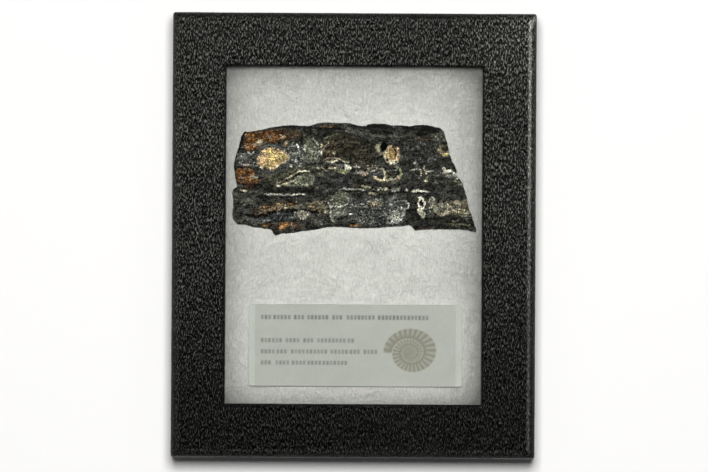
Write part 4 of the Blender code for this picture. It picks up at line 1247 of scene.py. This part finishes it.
def buildStrands():
    # each fibre is a bent run of points p + integral of (cos a, sin a), whose heading a turns steadily
    # and follows a slow swirl; a three-sided tube is carried along it
    steps, sides = strands["steps"], 3
    material = battingMaterial("battingStrand", 0.70)
    for number in range(strands["pieces"]):
        random = np.random.default_rng(500 + number)
        count = strands["each"]
        x = random.uniform(*strands["acrossX"], count)
        y = random.uniform(*strands["acrossY"], count)
        swirl = strands["swirl"][0] * clouds(x, y, strands["swirl"][1], 2, 301) * math.pi
        heading = swirl + random.normal(0.9, 0.75, count)
        length = random.uniform(*strands["length"], count)
        turning = random.normal(0, 1.1, count)
        k = np.arange(steps + 1)[:, None] / steps
        a = heading + turning * (k - 0.5)
        stride = length / steps
        px = x + np.cumsum(np.cos(a) * stride, 0) - 0.5 * length * np.cos(heading)
        py = y + np.cumsum(np.sin(a) * stride, 0) - 0.5 * length * np.sin(heading)
        fromSlice = lineDistance(px, py, seatedOutline)
        inside = insideOf(px, py, seatedOutline)
        signed = np.where(inside, -fromSlice, fromSlice)
        offCard = awayFromCard(px, py)
        keep = (signed.min(0) > strands["clearOf"][0]) & (offCard.min(0) > strands["clearOf"][1])
        px, py, a, signed = px[:, keep], py[:, keep], a[:, keep], signed[:, keep]
        foot, arch = strands["lift"]
        lift = random.uniform(0.0, foot, keep.sum()) + arch * np.sin(np.pi * k)
        pz = np.minimum(padTop(px, py, signed) + lift, paneUnder - strands["underGlass"])
        radius = random.uniform(*strands["radius"], keep.sum()) * (1 - 0.5 * np.abs(2 * k - 1) ** 3)
        turn = np.arange(sides) * 2 * np.pi / sides
        side = np.cos(turn)[None, :, None] * radius[:, None, :]
        above = np.sin(turn)[None, :, None] * radius[:, None, :]
        tubeX, tubeY = px[:, None] - np.sin(a)[:, None] * side, py[:, None] + np.cos(a)[:, None] * side
        tube = np.stack([tubeX, tubeY, pz[:, None] + above], -1).transpose(2, 0, 1, 3)
        cell = quadsBetween(steps + 1, sides, closed=True)
        starts = np.arange(len(tube)) * (steps + 1) * sides
        quads = (cell[None] + starts[:, None, None]).reshape(-1, 4)
        ends = np.array([[2, 1, 0], [steps * sides, steps * sides + 1, steps * sides + 2]])
        triangles = (ends[None] + starts[:, None, None]).reshape(-1, 3)
        points = tube.reshape(-1, 3)
        piece = makePiece("battingStrands%d" % (number + 1), points, quads, triangles)
        setNumber(piece, "edgeShade", edgeShade(points[:, 0], points[:, 1]))
        piece.data.materials.append(material)


def battingMaterial(name, bright):
    # near white, times slow clouds, two crossed sets of streaks and the painted shade of the frame
    material, tree, shader = newMaterial(name, 0.95, (bright, bright, bright))
    cloudy = remap(tree, grains(tree, placeOf(tree), 260, 5.0, 0.7), 0.3, 0.7, 0.93, 1.05)
    colour = addNode(tree, "ShaderNodeRGB").outputs[0]
    colour.default_value = (bright * 0.995, bright, bright * 0.95, 1)
    for turn in (0.5, -0.35):
        streaks = grains(tree, placeOf(tree, (1.6, 0.34, 1.0), (0, 0, turn)), 1900, 3.0, 0.6, 1.2)
        colour = tinted(tree, colour, remap(tree, streaks, 0.3, 0.7, 0.82, 1.17))
    shade = shadingOf(tree, "edgeShade")
    tree.links.new(tinted(tree, tinted(tree, colour, cloudy), shade), shader.inputs["Base Color"])
    addBump(tree, shader, grains(tree, placeOf(tree), 1500, 4.0, 0.7, 1.0), 0.12 * mm)
    return material


buildPad()
buildStrands()
print("batting done")


# the label card

label = {
    "step": 0.2,                 # mm between points, which carry the print
    "corner": 1.2,               # mm
    "bow": 0.10,                 # mm, how much the middle stands up
    "paper": (158, 161, 154),
    "edgePaper": (169, 172, 165),
    "ink": (84, 86, 82),
    "greyBrown": (116, 114, 100),
    "thick": 0.22,               # mm
    "paleEnds": (2.2, 1.8),      # mm from the short sides, where the paper turns to its paler tone
    "word": (2.6, 8.5),          # mm, shortest and longest
    "wordGap": (0.9, 1.3),
    "blockStep": 1.15,
    "blockHalf": (0.52, 0.3),    # mm from a block's middle, where it has faded out and is still full
    "shellAt": (17.9, -36.6),    # mm
    "shellRadius": 8.2,          # mm
    "shellSquash": 1.12,         # how much wider it is than high
    "shellGrowth": 2.05,         # how much wider each turn is than the last
    "shellRibs": 26,
}
# lines of plain blocks: left, right, foot of line, height, darkness
printLines = [
    (-29.0, 23.7, -26.4, 2.1, 0.95), (-29.0, 0.3, -33.6, 2.0, 0.75),
    (-29.0, 7.6, -37.1, 2.0, 0.75), (-29.0, -2.0, -40.6, 2.0, 0.75),
]


def printMask(x, y):
    # each line holds words of random width, each a row of plain blocks with soft edges
    mask = np.zeros(len(x))
    for number, (left, right, foot, height, dark) in enumerate(printLines):
        random = np.random.default_rng(900 + number)
        half = 0.34 * height
        upright = smoothStep(half + 0.1, half - 0.15, np.abs(y - foot - half))
        place = left
        while place < right - 1.0:
            word = min(random.uniform(*label["word"]), right - place)
            for block in np.arange(place, place + word, label["blockStep"]):
                shade = dark * random.uniform(0.6, 0.85)
                across = smoothStep(*label["blockHalf"], np.abs(x - block - 0.5))
                mask = np.maximum(mask, shade * across * upright)
            place += word + random.uniform(*label["wordGap"])
    return mask


def shellMask(x, y):
    # a coiled shell: radius = size * growth^(turns + angle / (2 pi)) gives the number of turns, whose
    # fraction runs across one coil. Its ribs are paler where sin(ribs * angle) is high.
    dx, dy = x - label["shellAt"][0], y - label["shellAt"][1]
    angle, size = np.arctan2(dy, dx), label["shellRadius"]
    radius = np.hypot(dx, dy * label["shellSquash"])
    turns = np.log(np.maximum(radius, 0.05) / size) / math.log(label["shellGrowth"]) - angle / (2 * math.pi)
    along = turns - np.floor(turns)
    inside = smoothStep(size + 0.4, size, radius) * (turns < 0.0)
    seam = smoothStep(0.12, 0.02, np.abs(along - 0.5) * -2 + 1)
    ribs = 0.5 + 0.5 * np.sin(label["shellRibs"] * angle + 2.5 * along)
    return inside * (0.92 - 0.5 * ribs * smoothStep(0.1, 0.5, along)) * (1 - 0.75 * seam)


def buildCard():
    # a grid of straight rows, as wide as the rounded corners let each row be, bowed up in the middle
    (lowX, lowY, _), (highX, highY, highZ) = cardLow, cardHigh
    halfX, halfY, corner = (highX - lowX) / 2, (highY - lowY) / 2, label["corner"]
    columns, rows = int(2 * halfX / label["step"]), int(2 * halfY / label["step"])
    v = np.linspace(-halfY, halfY, rows)[:, None]
    past = np.clip(np.abs(v) - (halfY - corner), 0, corner)
    wide = halfX - corner + np.sqrt(np.clip(corner ** 2 - past ** 2, 0, None))
    u = np.linspace(-1, 1, columns)[None, :]
    x = (lowX + highX) / 2 + u * wide
    y = (lowY + highY) / 2 + v + 0 * u
    bow = label["bow"] * (0.4 * np.cos(math.pi * u * 0.9) + 0.5 * clouds(x, y, 24.0, 2, 401))
    top = np.dstack([x, y, np.minimum(highZ - label["bow"] + bow, highZ)])
    under = top.copy()
    under[..., 2] -= label["thick"]
    points = np.vstack([top.reshape(-1, 3), under.reshape(-1, 3)])
    ring = ringNumbers(rows, columns)
    after, below = np.roll(ring, -1), rows * columns
    walls = np.column_stack([ring, after, after + below, ring + below])
    underQuads = quadsBetween(rows, columns, start=below)[:, ::-1]
    quads = np.vstack([quadsBetween(rows, columns), underQuads, walls])
    piece = makePiece("labelCard", points, quads)
    px, py = points[:, 0], points[:, 1]
    ink, shell = printMask(px, py), shellMask(px, py)
    fromEnd = halfX - np.abs(px - (lowX + highX) / 2)
    edge = smoothStep(*label["paleEnds"], fromEnd)[:, None]
    colour = linear(label["paper"]) * (1 - edge) + linear(label["edgePaper"]) * edge
    colour = colour + (linear(label["ink"]) - colour) * ink[:, None]
    colour = colour + (linear(label["greyBrown"]) - colour) * np.clip(shell, 0, 1)[:, None]
    onTop = np.arange(len(points)) < below
    setColour(piece, "printColour", np.where(onTop[:, None], colour, linear(label["paper"])))
    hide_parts("label_card")
    material, tree, shader = newMaterial("printedCard", 0.75, (0.5, 0.51, 0.46))
    printed = shadingOf(tree, "printColour", "Color")
    fibres = remap(tree, grains(tree, placeOf(tree), 1600, 4.0, 0.7), 0.3, 0.7, 0.95, 1.05)
    blotches = remap(tree, grains(tree, placeOf(tree), 120, 2.0), 0.3, 0.7, 0.97, 1.03)
    tree.links.new(tinted(tree, tinted(tree, printed, fibres), blotches), shader.inputs["Base Color"])
    addBump(tree, shader, grains(tree, placeOf(tree), 2400, 4.0), 0.03 * mm)
    piece.data.materials.append(material)


buildCard()
print("label card done")


# the lid


def roundedRing(halfX, halfY, radius, straightX, straightY, bend):
    # a rectangle with rounded corners: corner + radius * (cos a, sin a), and straight runs at equal steps.
    # Every ring has the same number of points, so rings of different sizes match one to one.
    angle = np.linspace(0, math.pi / 2, bend + 1)
    parts = []
    for quarter, (sx, sy) in enumerate([(1, 1), (-1, 1), (-1, -1), (1, -1)]):
        cx, cy = sx * (halfX - radius), sy * (halfY - radius)
        turn = angle + quarter * math.pi / 2
        parts.append(np.column_stack([cx + radius * np.cos(turn), cy + radius * np.sin(turn)]))
    ring = []
    for quarter in range(4):
        ring.append(parts[quarter])
        here, there = parts[quarter][-1], parts[(quarter + 1) % 4][0]
        steps = straightX if quarter % 2 == 0 else straightY
        t = np.linspace(0, 1, steps + 1)[1:-1, None]
        ring.append(here * (1 - t) + there * t)
    return np.vstack(ring)


def leatherGrain(x, y):
    # long wrinkles along Y: a noise that is stretched along Y and bent sideways by a slower one
    bent = x + 0.5 * clouds(x, y, 3.0, 2, 611)
    return 0.5 + 1.4 * clouds(bent, y / 2.2, 1.0, 2, 601)


def lidProfile():
    # round the board's section, row by row: inset from the outer wall, height, and length of paper
    # past the face's edge
    bottom, top = [corner[2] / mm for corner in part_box("lid")]
    halfX = (cadBox[1][0] - cadBox[0][0]) / mm / 2
    inset = halfX - lid["window"][0] / 2
    lean, board, slope = lid["lean"], lid["board"], lid["windowSlope"]
    (roundIn, r), leanAtTop, run = lid["edgeRound"], lid["leanAtTop"], lid["roundRun"]
    skirt = top - r - bottom
    rows = []
    for t in np.linspace(0, 1, 16):                       # up the skirt
        rows.append((lean * t * leanAtTop, bottom + skirt * t, skirt * (1 - t) + run))
    for a in np.linspace(0, 90, 10)[1:]:                  # round the edge
        c, s = math.cos(math.radians(a)), math.sin(math.radians(a))
        rows.append((lean * leanAtTop + roundIn * (1 - c), top - r + r * s, run * (1 - a / 90)))
    start = rows[-1][0]
    count = int((inset - slope - start) / lid["faceStep"])
    for t in np.linspace(0, 1, count)[1:]:                # across the face
        rows.append((start + (inset - slope - start) * t, top, 0.0))
    for drop, shift in lid["windowRows"]:                 # over the window's edge
        rows.append((inset - slope + shift, top - drop, 0.0))
    roof = top - board
    for t in np.linspace(0, 1, 6)[1:]:                    # back under the face
        rows.append((inset * (1 - t) + (lean + board) * t, roof, 0.0))
    for t in np.linspace(0, 1, 5)[1:]:                    # down inside the skirt
        rows.append((lean * (1 - t) + board, roof * (1 - t) + bottom * t, 0.0))
    return np.array(rows)


def paintedEdgeHighlight(profile, rings, onSideX):
    # painted highlight: exp(-((inset - at) / width)^2) along the edge, strongest on the right side near its
    # top corner, and exp(-(distance / width)^2) about a line in that corner
    face, (at, width), (foot, head) = profile[:, 1].max(), lid["highlightAt"], lid["highlightRight"]
    onEdge = np.exp(-((profile[:, 0] - at) / width) ** 2) * (profile[:, 1] > face - 0.8)
    onRight = onSideX & (rings[0, :, 0] > 0)
    side = np.where(onRight, foot + (head - foot) * smoothStep(-50, 66, rings[0, :, 1]), lid["highlightElse"])
    fromCornerLine = lineDistance(rings[..., 0], rings[..., 1], lid["cornerHighlight"])
    onCornerLine = np.exp(-(fromCornerLine / width) ** 2) * (rings[..., 2] > face - lid["board"])
    return np.maximum(onEdge[:, None] * side[None, :], onCornerLine)


def paintedLightAndShade(rings):
    # painted light and shade: the grain's crests are paler towards the top, where the light falls, and by
    # exp(-distance^2 / reach^2) round the top right corner, a painted sheen, but darker in a narrow band
    # along the top edge, a painted shade
    x, y = rings[..., 0], rings[..., 1]
    (foot, head), (cornerX, cornerY, reach) = lid["pale"], lid["sheenCorner"]
    corner = np.exp(-((x - cornerX) ** 2 + (y - cornerY) ** 2) / reach ** 2)
    band = 1 - lid["shadedHeadBy"] * smoothStep(*lid["shadedHead"], y) * (1 - corner)
    return (foot + (head - foot) * smoothStep(-70, 30, y) + corner) * band


def buildLid():
    # the section carried round a rectangle, then moved along its own outward direction by the grain
    profile = lidProfile()
    face = profile[:, 1].max()
    halfX, halfY = [(cadBox[1][k] - cadBox[0][k]) / mm / 2 for k in (0, 1)]
    straightX, straightY = [int(2 * half / lid["sideStep"]) for half in (halfX, halfY)]
    rings = []
    for inset, z, _ in profile:
        radius = max(lid["cornerRound"] - inset, 0.05)
        flat = roundedRing(halfX - inset, halfY - inset, radius, straightX, straightY, lid["cornerSteps"])
        rings.append(np.column_stack([flat, np.full(len(flat), z)]))
    rings = np.array(rings)
    cornerX, cornerY = halfX - np.abs(rings[0, :, 0]), halfY - np.abs(rings[0, :, 1])
    onSideX = cornerX < cornerY

    # the paper laid out flat, so that its grain runs on over the edges
    past = profile[:, 2][:, None]
    unrolledX = rings[..., 0] + np.where(onSideX, np.sign(rings[..., 0]) * past, 0)
    unrolledY = rings[..., 1] + np.where(onSideX, 0, np.sign(rings[..., 1]) * past)
    grain = lid["grain"] * leatherGrain(unrolledX, unrolledY)
    waveHeight, waveSize = lid["waves"]
    waves = waveHeight * clouds(unrolledX, unrolledY, waveSize, 3, 621)

    # outward directions in each row of the section, level round the corners
    along = np.roll(profile[:, :2], -1, 0) - np.roll(profile[:, :2], 1, 0)
    steep = along / np.hypot(*along.T)[:, None]
    outIn, outUp = -steep[:, 1], steep[:, 0]
    around = np.roll(rings[0, :, :2], -1, 0) - np.roll(rings[0, :, :2], 1, 0)
    level = np.column_stack([around[:, 1], -around[:, 0]]) / np.hypot(*around.T)[:, None]
    number = np.arange(len(profile))
    grained = ((number > 0) & (number < len(profile) - lid["plainRows"]))[:, None]
    folded = (~onSideX[None, :]) & (cornerX[None, :] < lid["flapWide"]) & (past > lid["roundRun"] + 0.1)
    height = grain + waves - lid["grain"] - waveHeight - lid["flap"] + lid["flap"] * folded
    height = np.where(grained, height, 0)
    rings[..., 0] -= height * outIn[:, None] * level[:, 0]
    rings[..., 1] -= height * outIn[:, None] * level[:, 1]
    rings[..., 2] += height * outUp[:, None]
    # the section is a closed loop, so its last row joins its first
    count = rings.shape[1]
    firstRow = np.arange(count)
    lastRow = (len(profile) - 1) * count + firstRow
    closing = np.column_stack([lastRow, np.roll(lastRow, -1), np.roll(firstRow, -1), firstRow])
    quads = np.vstack([quadsBetween(len(profile), count, closed=True), closing])
    piece = makePiece("caseLid", rings.reshape(-1, 3), quads)

    unrolled = np.column_stack([unrolledX.ravel(), unrolledY.ravel(), np.zeros(unrolledX.size)])
    setPlace(piece, "paperPlace", unrolled * mm)
    inWindow = (profile[:, 2] == 0) & (profile[:, 1] <= face - 0.01)
    turned = np.where(inWindow, 1.0, smoothStep(0.1, 1.2, profile[:, 2]))
    # where the paper turns down over the edges and into the window it gets a painted shade, and is rougher
    setNumber(piece, "turnedDown", np.repeat(turned, count))
    # a painted highlight along the right edge and in its top corner
    setNumber(piece, "edgeHighlight", paintedEdgeHighlight(profile, rings, onSideX))
    # painted light towards the top and in the top right corner, painted shade along the top edge
    setNumber(piece, "paintedLightAndShade", paintedLightAndShade(rings))
    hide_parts("lid")
    piece.data.materials.append(grainedPaper())


def grainedPaper():
    # wrinkles longer than they are wide: paler on their crests and black in the creases between them, partly
    # wear and partly painted highlight and shade
    material, tree, shader = newMaterial("grainedPaper", 0.26, (0.008, 0.008, 0.007))
    wrinkles = grains(tree, placeOf(tree, (3000, 1000, 1), attribute="paperPlace"), 1.0, 1.0, 0.5, 0.5)
    crest, crease = remap(tree, wrinkles, 0.53, 0.64, 0, 1), remap(tree, wrinkles, 0.40, 0.52, 0, 1)
    pores = grains(tree, placeOf(tree, attribute="paperPlace"), 5200, 3.0)
    edge = shadingOf(tree, "edgeHighlight")
    porous = calc(tree, "MULTIPLY_ADD", pores, 0.04, wrinkles)
    smoother = calc(tree, "MULTIPLY_ADD", edge, -0.5, 1.0)
    addBump(tree, shader, calc(tree, "MULTIPLY", porous, smoother), 0.8 * mm)
    shader.inputs["Specular IOR Level"].default_value = 0.22
    turned = shadingOf(tree, "turnedDown")
    handled = remap(tree, grains(tree, placeOf(tree, attribute="paperPlace"), 45, 3.0), 0.3, 0.7, 0.15, 0.20)
    tree.links.new(calc(tree, "MULTIPLY_ADD", turned, 0.2, handled), shader.inputs["Roughness"])
    base = addNode(tree, "ShaderNodeRGB").outputs[0]
    base.default_value = (0.0062, 0.0062, 0.0056, 1)
    # crests paler and creases darker: partly wear, partly painted highlight and painted shade
    pale = calc(tree, "MULTIPLY_ADD", crest, 21.0, calc(tree, "MULTIPLY_ADD", crease, 0.2, 0.02))
    # painted light and shade over the face
    pale = calc(tree, "MULTIPLY", pale, shadingOf(tree, "paintedLightAndShade"))
    # painted shade on the turned-down paper
    pale = calc(tree, "MULTIPLY", pale, calc(tree, "MULTIPLY_ADD", turned, -0.85, 1.0))
    # painted highlight: the right edge and its top corner made paler, most on the crests
    pale = calc(tree, "MULTIPLY_ADD", edge, calc(tree, "MULTIPLY_ADD", crest, 70.0, 30.0), pale)
    tree.links.new(tinted(tree, base, pale), shader.inputs["Base Color"])
    return material


buildLid()
print("lid done")


# glass and tray, whose solids are right as they are

def clearGlass():
    # shadow rays go straight through, so that the lamps reach what lies behind the pane
    material, tree, shader = newMaterial("clearGlass", 0.0, (0.99, 1.0, 0.99))
    shader.inputs["Transmission Weight"].default_value = 1.0
    shader.inputs["IOR"].default_value = 1.5
    clear = addNode(tree, "ShaderNodeBsdfTransparent").outputs[0]
    path = addNode(tree, "ShaderNodeLightPath").outputs["Is Shadow Ray"]
    mixed = addNode(tree, "ShaderNodeMixShader", {0: path, 1: shader.outputs[0], 2: clear}).outputs[0]
    tree.links.new(mixed, tree.nodes["Material Output"].inputs["Surface"])
    return material


def trayPaper():
    # matt black, times a noise that is stretched along the fibres
    material, tree, shader = newMaterial("trayPaper", 0.7, (0.014, 0.014, 0.014))
    fibres = grains(tree, placeOf(tree, (1.0, 0.35, 1.0)), 1800, 5.0, 0.7)
    base = addNode(tree, "ShaderNodeRGB").outputs[0]
    base.default_value = (0.016, 0.016, 0.0155, 1)
    tree.links.new(tinted(tree, base, remap(tree, fibres, 0.3, 0.7, 0.6, 1.5)), shader.inputs["Base Color"])
    scuffed = remap(tree, grains(tree, placeOf(tree), 60, 4.0), 0.35, 0.7, 0.55, 0.8)
    tree.links.new(scuffed, shader.inputs["Roughness"])
    addBump(tree, shader, fibres, 0.05 * mm)
    return material


for node, material in (("glass_pane", clearGlass()), ("tray", trayPaper())):
    solid = bpy.data.objects[node]
    solid.data.materials.clear()
    solid.data.materials.append(material)
print("glass and tray done")
